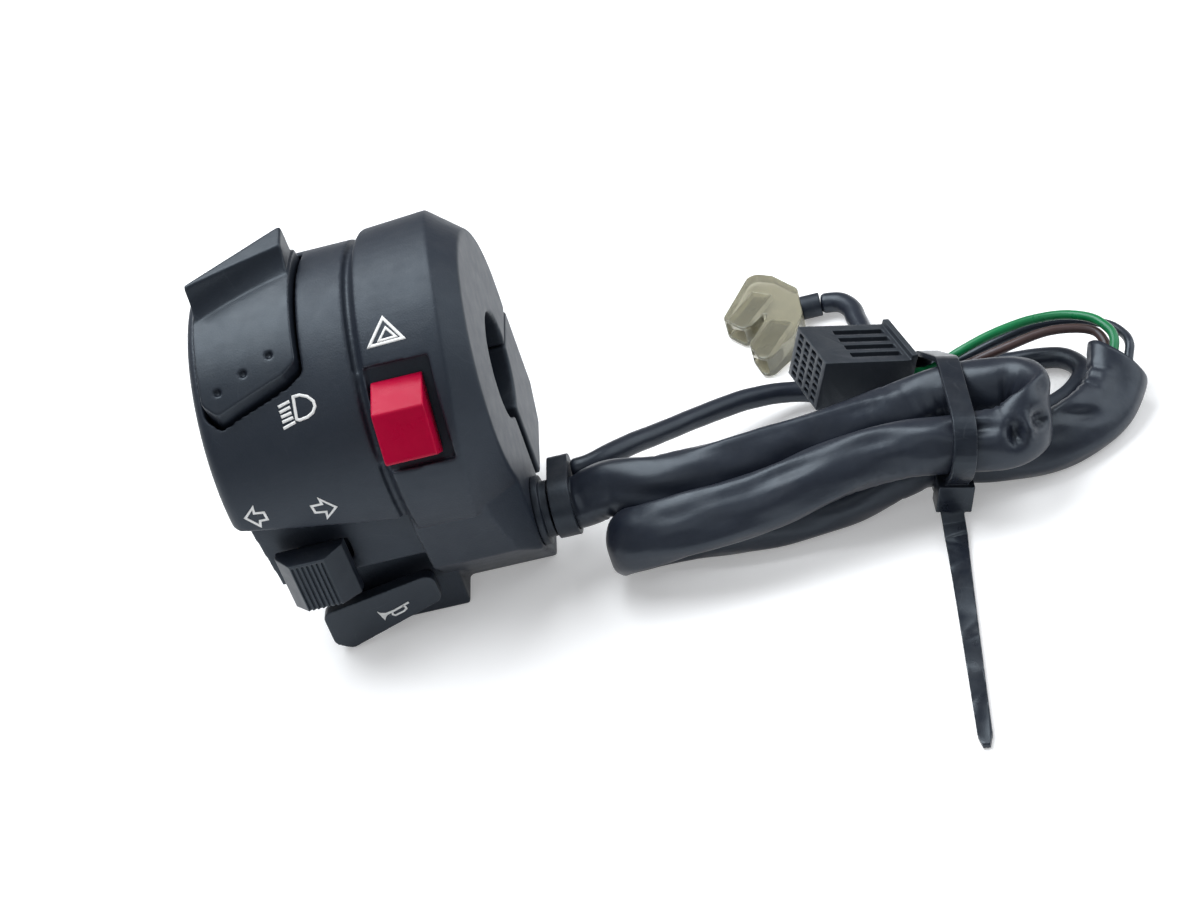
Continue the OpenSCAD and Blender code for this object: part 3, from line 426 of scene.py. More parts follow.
GREEN_FINISH = PlasticFinish(
    "green_insulation", (0.001, 0.14, 0.04), (0.003, 0.2, 0.06), (0.03, 0.3, 0.13), roughness=0.32,
    grain_scale=900.0, grain_depth=0.00002, wear_and_crease_highlight=0.2, dust=0.03)
BROWN_FINISH = PlasticFinish(
    "brown_insulation", (0.045, 0.024, 0.022), (0.07, 0.038, 0.034), (0.14, 0.09, 0.08),
    roughness=0.36, grain_scale=900.0, grain_depth=0.00002, wear_and_crease_highlight=0.2, dust=0.04)
TIE_FINISH = PlasticFinish(
    "black_tie_nylon", (0.0068, 0.009, 0.0152), (0.0088, 0.0115, 0.0188), (0.06, 0.066, 0.076),
    roughness=0.34, grain_depth=0.000015, wear_and_crease_highlight=0.4, dust=0.03)
SIGN_FINISH = PlasticFinish(
    "white_sign_print", (0.84, 0.84, 0.83), (0.9, 0.9, 0.89), (0.6, 0.6, 0.6), roughness=0.55,
    grain_depth=0.000008, wear_and_crease_highlight=0.1, dust=0.03, scuff=0.15)
ZINC_FINISH = MetalFinish("zinc_plated_steel", (0.66, 0.67, 0.69), (0.5, 0.5, 0.5))
COPPER_FINISH = MetalFinish("stamped_copper", (0.76, 0.42, 0.26), (0.5, 0.26, 0.15))
TINNED_FINISH = MetalFinish("tinned_blade", (0.5, 0.49, 0.44), (0.36, 0.34, 0.29))
BRASS_FINISH = MetalFinish("stamped_brass", (0.78, 0.62, 0.3), (0.55, 0.42, 0.2))


@dataclass(frozen=True)
class Softening:
    """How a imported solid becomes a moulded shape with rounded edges.

    Attributes:
        voxel: The grain of the new skin, in millimetres.
        passes: How often its edges are eased.
        faces: About how many faces stay.
        ease: How far each pass goes.
        weld: How close points are joined beforehand, in millimetres.
    """

    voxel: float
    passes: int
    faces: int
    ease: float = 0.5
    weld: float = 0.002


def read_rows(source: bpy.types.bpy_prop_collection, key: str, width: int,
              kind: type = np.float32) -> Array:
    """Reads one property of a mesh's parts.

    Args:
        source: The parts, such as its vertices.
        key: The property.
        width: How many numbers it has.
        kind: The type of the numbers.

    Returns:
        One row for each part.
    """
    flat = np.empty(len(source) * width, kind)
    source.foreach_get(key, flat)
    return flat.reshape(-1, width)


def face_outward(mesh: Mesh, weld: float = 0.0) -> None:
    """Turns a mesh's faces outward.

    Args:
        mesh: The mesh.
        weld: How close points are joined beforehand, or zero for none.
    """
    shape = bmesh.new()
    shape.from_mesh(mesh)
    if weld:
        bmesh.ops.remove_doubles(shape, verts=shape.verts, dist=weld)
    bmesh.ops.recalc_face_normals(shape, faces=shape.faces)
    shape.to_mesh(mesh)
    shape.free()


class Workbench:
    """Makes meshes, materials and pieces for the sub-assemblies."""

    edge_start: float = 0.05
    edge_range: float = 0.17

    def __init__(self) -> None:
        """Builds the shared effects."""
        self.shelf = EffectShelf()
        self.materials: dict[str, bpy.types.Material] = {}

    def material(self, finish: Finish) -> bpy.types.Material:
        """Gives a finish's material, built once."""
        if finish.name not in self.materials:
            self.materials[finish.name] = finish.material(self.shelf)
        return self.materials[finish.name]

    def bake(self, piece: Piece) -> None:
        """Applies a piece's modifiers to its mesh.

        Args:
            piece: The piece.
        """
        graph = bpy.context.evaluated_depsgraph_get()
        mesh = bpy.data.meshes.new_from_object(piece.evaluated_get(graph))
        piece.modifiers.clear()
        before = piece.data
        piece.data = mesh
        bpy.data.meshes.remove(before)

    def soften(self, node: str, name: str, softening: Softening) -> Piece:
        """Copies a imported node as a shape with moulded, rounded edges.

        Args:
            node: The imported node.
            name: The new piece's name.
            softening: How it is eased.

        Returns:
            The new piece, in place.
        """
        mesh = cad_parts[node].data.copy()
        mesh.materials.clear()
        mesh.transform(Matrix.Scale(1 / MM, 4))
        face_outward(mesh, softening.weld)
        piece = add_object(name, mesh)
        skin = piece.modifiers.new("even_skin", "REMESH")
        skin.mode = "VOXEL"
        skin.voxel_size = softening.voxel
        ease = piece.modifiers.new("eased_edges", "SMOOTH")
        ease.factor = softening.ease
        ease.iterations = softening.passes
        self.bake(piece)
        thin = piece.modifiers.new("fewer_faces", "DECIMATE")
        thin.ratio = min(1.0, softening.faces / max(1, 2 * len(piece.data.polygons)))
        self.bake(piece)
        piece.data.transform(Matrix.Scale(MM, 4))
        piece.data.name = name
        return piece

    def mark_edges(self, mesh: Mesh) -> None:
        """Writes how sharply each vertex stands out, for the rubbed edges and the painted highlight
        on the sleeve's crease ridges.

        Args:
            mesh: The mesh to measure.
        """
        places = read_rows(mesh.vertices, "co", 3)
        normals = read_rows(mesh.vertex_normals, "vector", 3)
        first, second = read_rows(mesh.edges, "vertices", 2, np.int32).T
        count = len(places)
        step = places[second] - places[first]
        step /= np.maximum(np.linalg.norm(step, axis=1), TINY)[:, None]
        bend = np.bincount(first, -(step * normals[first]).sum(1), count)
        bend += np.bincount(second, (step * normals[second]).sum(1), count)
        around = np.bincount(first, minlength=count) + np.bincount(second, minlength=count)
        bend /= np.maximum(around, 1)
        edge = np.clip((bend - self.edge_start) / self.edge_range, 0.0, 1.0)
        layer = mesh.attributes.new("edge", "FLOAT", "POINT")
        layer.data.foreach_set("value", edge.astype(np.float32))

    def dress(self, piece: Piece, body: Body, slot: Slot, finish: Finish, *nodes: str) -> Piece:
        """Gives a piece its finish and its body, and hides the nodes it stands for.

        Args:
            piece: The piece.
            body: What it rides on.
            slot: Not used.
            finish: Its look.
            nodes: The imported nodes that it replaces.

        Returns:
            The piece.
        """
        mesh = piece.data
        mesh.polygons.foreach_set("use_smooth", np.ones(len(mesh.polygons), bool))
        self.mark_edges(mesh)
        mesh.materials.append(self.material(finish))
        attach(piece, body.value)
        if nodes:
            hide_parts(*nodes)
        LOG.info("%s rides on %s", piece.name, body.value)
        return piece

    def refinish(self, finish: Finish, *nodes: str) -> None:
        """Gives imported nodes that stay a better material.

        Args:
            finish: Their look.
            nodes: The nodes.
        """
        for node in nodes:
            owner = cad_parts[node]
            if not owner.material_slots:
                owner.data.materials.append(None)
            for holder in owner.material_slots:
                holder.material = self.material(finish)
            LOG.info("%s keeps its packed shape", node)

    def mould(self, node: str, name: str, softening: Softening, body: Body, slot: Slot,
              finish: Finish) -> Piece:
        """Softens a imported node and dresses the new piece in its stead."""
        return self.dress(self.soften(node, name, softening), body, slot, finish, node)

    def solid(self, name: str, points: Sequence[Sequence[float]],
              faces: Sequence[Sequence[int]]) -> Piece:
        """Makes a piece from points in millimetres.

        Args:
            name: Its name.
            points: Its vertices.
            faces: Its faces.

        Returns:
            The piece.
        """
        mesh = bpy.data.meshes.new(name)
        places = (np.asarray(points, float) * MM).tolist()
        mesh.from_pydata(places, [], [list(map(int, face)) for face in faces])
        face_outward(mesh)
        return add_object(name, mesh)


@dataclass
class CordLine:
    """A cord's centre line and the frame of each of its rings, in millimetres.

    Attributes:
        route: The points that it passes through.
        spacing: The distance between rings.
        reference: What gives the direction that each ring's first side leans to.
    """

    route: Sequence[Point]
    spacing: float
    reference: Callable[[Array, Array], Array] | None = None
    places: Array = field(init=False)
    stations: Array = field(init=False)
    runs: Array = field(init=False)
    along: Array = field(init=False)
    side: Array = field(init=False)
    lift: Array = field(init=False)

    def __post_init__(self) -> None:
        """Walks the route at even steps and sets each ring's frame."""
        dense, stations = self._curve(CURVE_STEPS)
        run = np.concatenate([[0.0], np.cumsum(np.linalg.norm(np.diff(dense, axis=0), axis=1))])
        count = max(FEWEST_RINGS, round(run[-1] / self.spacing))
        self.runs = np.linspace(0.0, run[-1], count + 1)
        self.places = np.column_stack([np.interp(self.runs, run, dense[:, k]) for k in range(3)])
        self.stations = np.interp(self.runs, run, stations)
        self.along = np.gradient(self.places, axis=0)
        self.along /= np.linalg.norm(self.along, axis=1)[:, None]
        lean = np.tile((0.0, 0.0, 1.0), (count + 1, 1))
        if self.reference is not None:
            lean = self.reference(self.stations, self.along)
        side = lean - self.along * (lean * self.along).sum(1)[:, None]
        self.side = side / np.linalg.norm(side, axis=1)[:, None]
        self.lift = np.cross(self.along, self.side)

    def _curve(self, steps: int) -> tuple[Array, Array]:
        """Runs a smooth curve through the route.

        Args:
            steps: Points for each stretch.

        Returns:
            The curve's points and the route index at each.
        """
        p = np.asarray(self.route, float)
        last = len(p) - 1
        points, stations = [], []
        for i in range(last):
            a, b, c, d = p[max(i - 1, 0)], p[i], p[i + 1], p[min(i + 2, last)]
            for t in np.arange(steps) / steps:
                points.append(0.5 * (2 * b + (c - a) * t + (2 * a - 5 * b + 4 * c - d) * t ** 2
                                     + (3 * b - a - 3 * c + d) * t ** 3))
                stations.append(i + t)
        return np.array(points + [p[last]]), np.array(stations + [float(last)])

    @property
    def ring_gap(self) -> float:
        """The distance between its rings, in millimetres."""
        return float(self.runs[1] - self.runs[0])

    @property
    def length(self) -> float:
        """Its length, in metres."""
        return float(self.runs[-1]) * MM

    @property
    def path(self) -> list[list[float]]:
        """Its points, in metres."""
        return (self.places * MM).tolist()

    def rings(self, across: Array, over: Array) -> Array:
        """Places rings by their offsets along the sides and the lifts."""
        return (self.places[:, None, :] + across[..., None] * self.side[:, None, :]
                + over[..., None] * self.lift[:, None, :])


def ring_angles(sides: int) -> Array:
    """Gives the angles of a ring's corners, in one row."""
    return np.linspace(0, FULL_TURN, sides, endpoint=False)[None, :]


def skin_rings(rings: Array) -> tuple[Array, list[list[int]]]:
    """Joins rings into a closed tube.

    Args:
        rings: The points, by ring and by corner.

    Returns:
        The points and the faces.
    """
    count, sides = rings.shape[:2]
    points = np.vstack([rings.reshape(-1, 3), rings[0].mean(0), rings[-1].mean(0)])
    pairs = [(j, (j + 1) % sides) for j in range(sides)]
    start, end, last = count * sides, count * sides + 1, (count - 1) * sides
    faces = [[i + j, i + k, i + sides + k, i + sides + j]
             for i in range(0, last, sides) for j, k in pairs]
    for j, k in pairs:
        faces += [[start, k, j], [end, last + j, last + k]]
    return points, faces


@dataclass(frozen=True)
class CoilSpring:
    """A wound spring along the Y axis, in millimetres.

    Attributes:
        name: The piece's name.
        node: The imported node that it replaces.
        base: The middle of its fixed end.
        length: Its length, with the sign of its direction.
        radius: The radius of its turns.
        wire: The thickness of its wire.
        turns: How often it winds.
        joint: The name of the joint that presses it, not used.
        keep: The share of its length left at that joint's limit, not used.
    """

    name: str
    node: str
    base: Point
    length: float
    radius: float
    wire: float
    turns: int
    joint: str
    keep: float
    turn_steps: int = 16
    spacing: float = 0.3
    sides: int = 10

    def build(self, bench: Workbench, body: Body) -> None:
        """Winds the spring.

        Args:
            bench: Where the mesh is made.
            body: What it rides on.
        """
        way = math.copysign(1.0, self.length)
        turn = np.linspace(0.0, FULL_TURN * self.turns, self.turn_steps * self.turns + 1)
        rise = way * self.wire / 2 + (self.length - way * self.wire) * turn / turn[-1]
        wound = np.column_stack([self.radius * np.cos(turn), rise, self.radius * np.sin(turn)])
        line = CordLine((np.array(self.base) + wound).tolist(), self.spacing,
                        lambda stations, along: np.tile((0.0, 1.0, 0.0), (len(stations), 1)))
        angle = ring_angles(self.sides)
        rings = line.rings(self.wire / 2 * np.cos(angle), self.wire / 2 * np.sin(angle))
        spring = bench.solid(self.name, *skin_rings(rings))
        bench.dress(spring, body, Slot.ZINC, ZINC_FINISH, self.node)
        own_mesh(spring)


@dataclass
class Studio:
    """The camera at the photograph's angle, the pale floor and soft light."""

    camera_at: Point = (0.10397626645, -0.37004876918, 0.25911093768)
    camera_axes: tuple[Point, Point, Point] = ((0.96578412, 0.22562678, 0.12788113),
                                               (-0.04075897, 0.61900838, -0.78432603),
                                               (-0.25612445, 0.75227733, 0.60702478))
    lens: float = 67.18
    sensor: float = 36.0
    near_clip: float = 0.01
    floor_half: float = 0.5
    floor_colour: Colour = (0.86, 0.86, 0.87)
    floor_roughness: float = 0.8
    floor_specular: float = 0.2
    floor_glow: float = 0.28
    ambient: float = 0.27
    room_colour: Colour = (0.98, 0.99, 1.0)
    lamp_target: Point = (0.06, 0.0, -0.02)
    lamp_tint: Colour = (0.95, 0.98, 1.0)
    lamps: tuple[tuple[str, Point, float, float], ...] = (
        ("overhead_softbox", (-0.16, 0.2, 0.66), 0.6, 7.2),
        ("right_softbox", (0.75, 0.12, 0.4), 0.8, 4.0),
        ("front_fill", (-0.1, -0.6, 0.6), 0.5, 0.7))

    def camera(self) -> None:
        """Sets the camera."""
        data = bpy.data.cameras.new("photo_camera")
        data.sensor_width = self.sensor
        data.lens = self.lens
        data.clip_start = self.near_clip
        camera = add_object("photo_camera", data)
        turned = Matrix(self.camera_axes).to_4x4()
        camera.matrix_world = Matrix.Translation(self.camera_at) @ turned
        bpy.context.scene.camera = camera

    def floor(self) -> None:
        """Lays the pale floor, which keeps the shadow."""
        h = self.floor_half
        corners = [(x, y, FLOOR_Z) for x, y in ((-h, -h), (h, -h), (h, h), (-h, h))]
        mesh = bpy.data.meshes.new("pale_floor")
        mesh.from_pydata(corners, [], [(0, 1, 2, 3)])
        floor = add_object("pale_floor", mesh)
        material, board = open_material("pale_floor")
        ray = board.place("ShaderNodeLightPath").outputs
        seen = board.math("MAXIMUM", ray["Is Camera Ray"], ray["Is Glossy Ray"])
        seen = board.math("MAXIMUM", seen, ray["Is Transmission Ray"])
        board.surface({
            "Base Color": (*self.floor_colour, 1.0), "Roughness": self.floor_roughness,
            "Specular IOR Level": self.floor_specular, "Emission Color": (1.0, 1.0, 1.0, 1.0),
            "Emission Strength": board.math("MULTIPLY", seen, self.floor_glow)})
        mesh.materials.append(material)

    def lamp(self, name: str, at: Point, size: float, power: float) -> None:
        """Hangs a soft square lamp that faces the object.

        Args:
            name: Its name.
            at: Where it hangs.
            size: Its side.
            power: Its watts.
        """
        data = bpy.data.lights.new(name, "AREA")
        data.size = size
        data.energy = power
        data.color = self.lamp_tint
        aim = Vector(self.lamp_target) - Vector(at)
        turned = aim.to_track_quat("-Z", "Y").to_matrix().to_4x4()
        add_object(name, data).matrix_world = Matrix.Translation(at) @ turned

    def lights(self) -> None:
        """Hangs the lamps and sets the pale surroundings."""
        for lamp in self.lamps:
            self.lamp(*lamp)
        world = bpy.data.worlds.new("pale_room")
        bpy.context.scene.world = world
        world.use_nodes = True
        board = NodeBoard(world.node_tree)
        ray = board.place("ShaderNodeLightPath").outputs
        strength = board.spread(ray["Is Camera Ray"], 0.0, 1.0, self.ambient, 1.0)
        inputs = {"Color": (*self.room_colour, 1.0), "Strength": strength}
        back = board.place("ShaderNodeBackground", inputs)
        board.place("ShaderNodeOutputWorld", {"Surface": back.outputs[0]})
        bpy.context.scene.view_settings.view_transform = "Standard"

    def build(self) -> None:
        """Sets the camera, the floor and the light."""
        self.camera()
        self.floor()
        self.lights()
        LOG.info("studio set")


@dataclass
class Harness:
    """The black sleeve, the thin lead, three wires and the strain relief, in millimetres."""

    bench: Workbench
    sleeve_r: float = 5.3
    sleeve_slim: float = 2.4
    sleeve_wall: float = 0.6
    sleeve_step: float = 0.75
    sleeve_sides: int = 44
    calm_run: float = 9.0
    mouth_depth: float = 9.0
    mouth_shear: float = 0.5
    mouth_run: float = 11.0
    twist_start: float = 28.5
    twist_length: float = 2.0
    lead_r: float = 2.3
    lead_sides: int = 24
    lead_waver: float = 0.03
    wire_r: float = 1.0
    wire_sides: int = 16
    wire_waver: float = 0.012
    cord_step: float = 0.6
    waver_rate: float = 0.21
    bulge_rate: float = 0.9
    bulge_share: float = 0.6
    end_taper: float = 0.18
    end_run: float = 0.25
    floor_clear: float = -41.95
    grommet_softening: Softening = Softening(0.2, 4, 14000)
    band_softening: Softening = Softening(0.14, 4, 9000)
    sleeve_route: tuple[Point, ...] = (
        (33.3, -15.6, -27), (39, -15.6, -27), (46, -16.6, -24.8), (57, -19.4, -24.6),
        (72, -18.4, -25.4), (88, -15, -26.6), (104, -11.8, -26.6), (115, -10, -25.4),
        (124.6, -12.4, -24.6), (130.2, -14.8, -24.6), (132.4, -20.2, -24.8), (130.2, -25.6, -25),
        (124.6, -28, -25.4), (115, -26.6, -25), (104, -25.6, -24.6), (94, -26.4, -24.6),
        (80, -29.4, -25.4), (68, -30.6, -26.2), (59, -30.6, -27), (52.4, -30, -28),
        (48, -28.6, -29.2), (46.2, -25.4, -32.2), (48, -22.2, -35.2), (52.4, -20.8, -36.4),
        (60, -21.6, -36.4), (69, -22.8, -36.4), (80, -23, -36.4), (92, -22.2, -36),
        (103, -20.2, -34.6), (112, -19.4, -33.9), (123, -20, -35.2), (133, -19.4, -36.4),
        (141, -16.4, -36.4), (146.6, -12, -36.2), (150, -7.4, -35), (151.8, -2.8, -33))
    sleeve_widths: tuple[Flat, ...] = (
        (0, 5.3), (1, 5.5), (2, 5.9), (3, 6.3), (4, 6.4), (5, 6.3), (6, 5.9), (7, 5.6), (8, 6.1),
        (9, 6.5), (10, 6.8), (11, 6.6), (12, 6.2), (13, 5.6), (14, 5.8), (16, 6.1), (18, 6.1),
        (20, 6.5), (21, 6.8), (22, 6.4), (24, 6.0), (28, 5.7), (29, 5.5), (30, 5.8), (31, 6.1),
        (33, 6.4), (35, 6.5))
    lead_route: tuple[Point, ...] = (
        (38.1, -7.8, -24.6), (41.4, -7.6, -24.6), (45.4, -5.4, -25), (50.4, -1.4, -26.6),
        (57, 4, -29.4), (66, 10.4, -32.4), (76, 15.6, -35), (86, 17.8, -37.8), (95, 14.6, -39.5),
        (101.4, 6, -39.4), (106.4, -1.9, -38.3), (112, -5.8, -35.6), (119, -7.2, -36.8),
        (126, -7.4, -38.8), (133.4, -6, -39.5), (141.6, -1.8, -39.5), (145.4, 4.6, -39.5),
        (141.6, 10.8, -39.5), (131, 13, -39.5), (121, 14.6, -39.5), (113, 18.4, -39.5),
        (107, 24.6, -39.5), (103.6, 32, -39.4), (102, 40, -39.2), (101.4, 44.6, -39),
        (99, 48.4, -39), (95.1, 49.5, -39))
    green_route: tuple[Point, ...] = (
        (110.38, 7.23, -31.73), (114, 7.5, -32.3), (117.6, 7.4, -31), (121.2, 7.2, -29.2),
        (128, 8.9, -28.1), (136, 10.4, -27.8), (143.4, 9.8, -27.8), (149, 6.8, -28),
        (151.8, 2.6, -28.6), (152.19, -0.46, -29.36), (151.21, -3.32, -30.68))
    brown_route: tuple[Point, ...] = (
        (109.32, 9.42, -32.64), (113, 9.7, -33.9), (117, 8.4, -33.8), (121.4, 6.2, -32.2),
        (130, 5.6, -29.8), (138.4, 6.8, -29), (144.6, 6.6, -29.4), (149.2, 4.8, -30.2),
        (150.6, 1.1, -31.56), (149.62, -1.77, -32.87))
    dark_route: tuple[Point, ...] = (
        (108.17, 11.38, -33.92), (111.8, 12, -35.2), (115.8, 11.6, -35.2), (121, 10.2, -33.6),
        (129, 10.7, -31.6), (138, 12.6, -31.2), (146, 11.8, -31.4), (152, 8, -31.4),
        (154.6, 3.4, -31.2), (155.06, -0.68, -31.02), (154.09, -3.54, -32.34))
    end_dip: Point = (-1.3, -3.6, -1.7)
    # Each wave: its height, how often it goes round, how fast it drifts and where it starts.
    waves: tuple[tuple[float, ...], ...] = (
        (0.16, 2, 0.11, 0.7), (0.13, 3, -0.17, 2.1), (0.09, 5, 0.29, 0.0), (0.05, 7, -0.41, 1.0))
    # Each fold: its angle, its first and last station, its height and its width.
    folds: tuple[tuple[float, ...], ...] = (
        (0.62, 3.0, 6.4, 0.55, 0.2), (1.75, 1.0, 5.0, -0.5, 0.32), (2.7, 3.4, 7.4, 0.35, 0.25),
        (-1.1, 13.4, 18.5, -0.5, 0.3), (-2.3, 14.0, 19.0, 0.4, 0.22), (-0.3, 15.0, 20.0, 0.3, 0.2),
        (1.2, 23.0, 28.0, -0.45, 0.3), (2.3, 30.0, 34.0, 0.4, 0.25), (1.4, 30.4, 34.6, -0.6, 0.35),
        (0.6, 31.0, 35.0, 0.35, 0.2))
    fold_fade: float = 0.9
    fold_drift: float = 0.16
    drift_rate: float = 0.07
    bend_gain: float = 9.0
    ripple_height: float = 0.32
    ripple_rate: float = 2.1
    cross_rate: float = 3.4
    cross_swing: float = 1.3
    bend_hollow: float = 0.55
    # Each hollow: its middle, its half width, its half height and its depth.
    dents: tuple[tuple[Point, float, float, float], ...] = (
        ((132.5, -27.8, -23.1), 2.3, 1.9, 3.6), ((126.9, -29.4, -23.7), 1.5, 2.5, 3.2),
        ((129.6, -28.6, -23.4), 0.9, 3.2, -1.3), ((119.5, -28.8, -20.6), 4.6, 1.2, 1.8),
        ((134.2, -21.6, -20.4), 1.6, 2.2, 1.5), ((141.0, -19.0, -31.2), 5.2, 1.3, 1.5))
    dent_reach: float = 6.0
    dent_rim: float = 0.35
    rim_spread: float = 0.3

    def lean(self, stations: Array, along: Array) -> Array:
        """Gives the direction in which the sleeve lies wide.

        Args:
            stations: The route index of each ring.
            along: The way the sleeve runs at each ring.

        Returns:
            One direction for each ring.
        """
        broadside = np.cross(np.array(TO_CAMERA), along)
        turn = np.clip((stations - self.twist_start) / self.twist_length, 0.0, 1.0)[:, None]
        return np.array(CAMERA_UP) * (1 - turn) + broadside * turn

    def creases(self, line: CordLine, angle: Array) -> Array:
        """Gives how far the sleeve's wall stands in or out.

        Args:
            line: The sleeve's line.
            angle: The angle of each corner.

        Returns:
            The offsets, by ring and by corner.
        """
        run, station = line.runs[:, None], line.stations[:, None]
        out = sum(height * np.sin(times * angle + drift * run + start)
                  for height, times, drift, start in self.waves)
        for where, start, end, height, width in self.folds:
            fade = (np.clip((station - start) / self.fold_fade, 0, 1)
                    * np.clip((end - station) / self.fold_fade, 0, 1))
            drift = self.fold_drift * np.sin(self.drift_rate * run + 3 * where)
            gap = np.angle(np.exp(1j * (angle - where - drift)))
            out = out + height * fade * np.exp(-(gap / width) ** 2)
        turn = np.gradient(line.along, axis=0) / line.ring_gap
        bend = np.linalg.norm(turn, axis=1)[:, None]
        inward = np.arctan2((turn * line.lift).sum(1), (turn * line.side).sum(1))[:, None]
        facing = np.clip(np.cos(angle - inward), 0, 1) ** 2
        cross = np.sin(self.cross_rate * run + self.cross_swing * np.sin(2 * angle))
        ripple = np.sin(self.ripple_rate * run) + 0.5 * cross
        depth = self.ripple_height * ripple - self.bend_hollow
        return out + np.clip(bend * self.bend_gain, 0, 1) * facing * depth

    def tube(self, name: str, rings: Array) -> Piece:
        """Keeps rings off the floor and joins them into a piece."""
        rings[..., 2] = np.maximum(rings[..., 2], self.floor_clear)
        return self.bench.solid(name, *skin_rings(rings))

    def sleeve(self) -> tuple[Piece, CordLine]:
        """Builds the flattened, creased sleeve with its open mouth.

        Returns:
            The piece and its line.
        """
        line = CordLine(self.sleeve_route, self.sleeve_step, self.lean)
        angle = ring_angles(self.sleeve_sides)
        stops, widths = np.array(self.sleeve_widths).T
        wide = np.interp(line.stations, stops, widths)[:, None]
        slim = np.sqrt(np.maximum(2 * self.sleeve_r ** 2 - wide ** 2, self.sleeve_slim ** 2))
        out = self.creases(line, angle) * np.clip(line.runs / self.calm_run, 0, 1)[:, None]
        across = (wide + out) * np.cos(angle)
        rings = line.rings(across, (slim + out) * np.sin(angle))
        mouth_start = line.runs[-1] - self.mouth_run
        back = np.clip((line.runs - mouth_start) / self.mouth_run, 0, 1)[:, None] ** 2
        rings += (self.mouth_shear * across * back)[..., None] * line.along[:, None, :]
        rings = self.dented(rings)
        inner = []
        for ring in rings[-1:-1 - int(self.mouth_depth / self.sleeve_step):-1]:
            centre = ring.mean(0)
            away = ring - centre
            thinner = 1 - self.sleeve_wall / np.linalg.norm(away, axis=1)
            inner.append(centre + away * thinner[:, None])
        return self.tube("sleeve_black", np.concatenate([rings, np.array(inner)])), line

    def dented(self, rings: Array) -> Array:
        """Presses the crumpled hollows into the sleeve's face.

        Args:
            rings: The sleeve's points, by ring and by corner.

        Returns:
            The pressed points.
        """
        right, up, toward = (np.array(axis) for axis in (CAMERA_RIGHT, CAMERA_UP, TO_CAMERA))
        out = rings - rings.mean(1, keepdims=True)
        facing = np.clip(out @ toward / np.linalg.norm(out, axis=2), 0.0, 1.0)
        pressed = rings.copy()
        for place, wide, tall, depth in self.dents:
            away = rings - np.array(place)
            near = np.exp(-(away @ right / wide) ** 2 - (away @ up / tall) ** 2
                          - (away @ toward / self.dent_reach) ** 2)
            rim = (1 + self.dent_rim) * near - self.dent_rim * near ** self.rim_spread
            pressed = pressed - (depth * rim * facing)[..., None] * toward
        return pressed

    def round_cord(self, name: str, route: Sequence[Point], radius: float, sides: int,
                   waver: float) -> tuple[Piece, CordLine]:
        """Builds a round cord whose wall wavers a little.

        Args:
            name: The piece's name.
            route: What it passes through.
            radius: Its radius.
            sides: Corners in each ring.
            waver: How far its wall wavers.

        Returns:
            The piece and its line.
        """
        line = CordLine(route, self.cord_step)
        angle, run = ring_angles(sides), line.runs[:, None]
        bulge = self.bulge_share * np.sin(self.bulge_rate * run + angle)
        size = radius + waver * (np.sin(2 * angle + self.waver_rate * run) + bulge)
        rings = line.rings(size * np.cos(angle), size * np.sin(angle))
        ends = 1 - self.end_taper * np.exp(-np.minimum(run, run[-1] - run) / self.end_run)
        middles = line.places[:, None, :]
        return self.tube(name, middles + (rings - middles) * ends[..., None]), line

    def wire_route(self, route: Sequence[Point]) -> list[Point]:
        """Turns a wire's route round and starts it inside the sleeve."""
        inside = tuple(np.add(route[-1], self.end_dip))
        return [inside, *reversed(route)]

    def build(self, plug: Sequence[Piece], boots: Sequence[Piece]) -> None:
        """Builds every cord and the strain relief.

        Args:
            plug: The pieces of the plug at the wires' far end, not used.
            boots: The pieces at the lead's far end, not used.
        """
        bench = self.bench
        sleeve, line = self.sleeve()
        bench.dress(sleeve, Body.HOUSING, Slot.SLEEVE, SLEEVE_FINISH, "harness_sleeve")
        lead, line = self.round_cord("lead_black", self.lead_route, self.lead_r, self.lead_sides,
                                     self.lead_waver)
        bench.dress(lead, Body.HOUSING, Slot.SLEEVE, SLEEVE_FINISH, "clutch_lead")
        wires = (
            ("green", self.green_route, Slot.GREEN, GREEN_FINISH, "connector", plug),
            ("brown", self.brown_route, Slot.BROWN, BROWN_FINISH, "object", ()),
            ("dark", self.dark_route, Slot.SLEEVE, SLEEVE_FINISH, "object", ()))
        for shade, route, slot, finish, far_end, ends in wires:
            wire, line = self.round_cord(f"wire_{shade}", self.wire_route(route), self.wire_r,
                                         self.wire_sides, self.wire_waver)
            bench.dress(wire, Body.HOUSING, slot, finish, f"{shade}_wire")
        for node, name, softening in (("cable_grommet", "grommet_rubber", self.grommet_softening),
                                      ("grommet_tie", "grommet_band", self.band_softening)):
            bench.mould(node, name, softening, Body.HOUSING, Slot.RUBBER, RUBBER_FINISH)


@dataclass
class PlugConnector:
    """The loose plug with its socket grid and brass sockets."""

    bench: Workbench
    softening: Softening = Softening(0.16, 2, 42000)

    def build(self) -> list[Piece]:
        """Builds the plug.

        Returns:
            Its pieces.
        """
        body = self.bench.mould("connector_body", "plug_body", self.softening, Body.HOUSING,
                                Slot.CONNECTOR, CONNECTOR_FINISH)
        self.bench.refinish(BRASS_FINISH, "connector_terminals")
        return [body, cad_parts["connector_terminals"]]


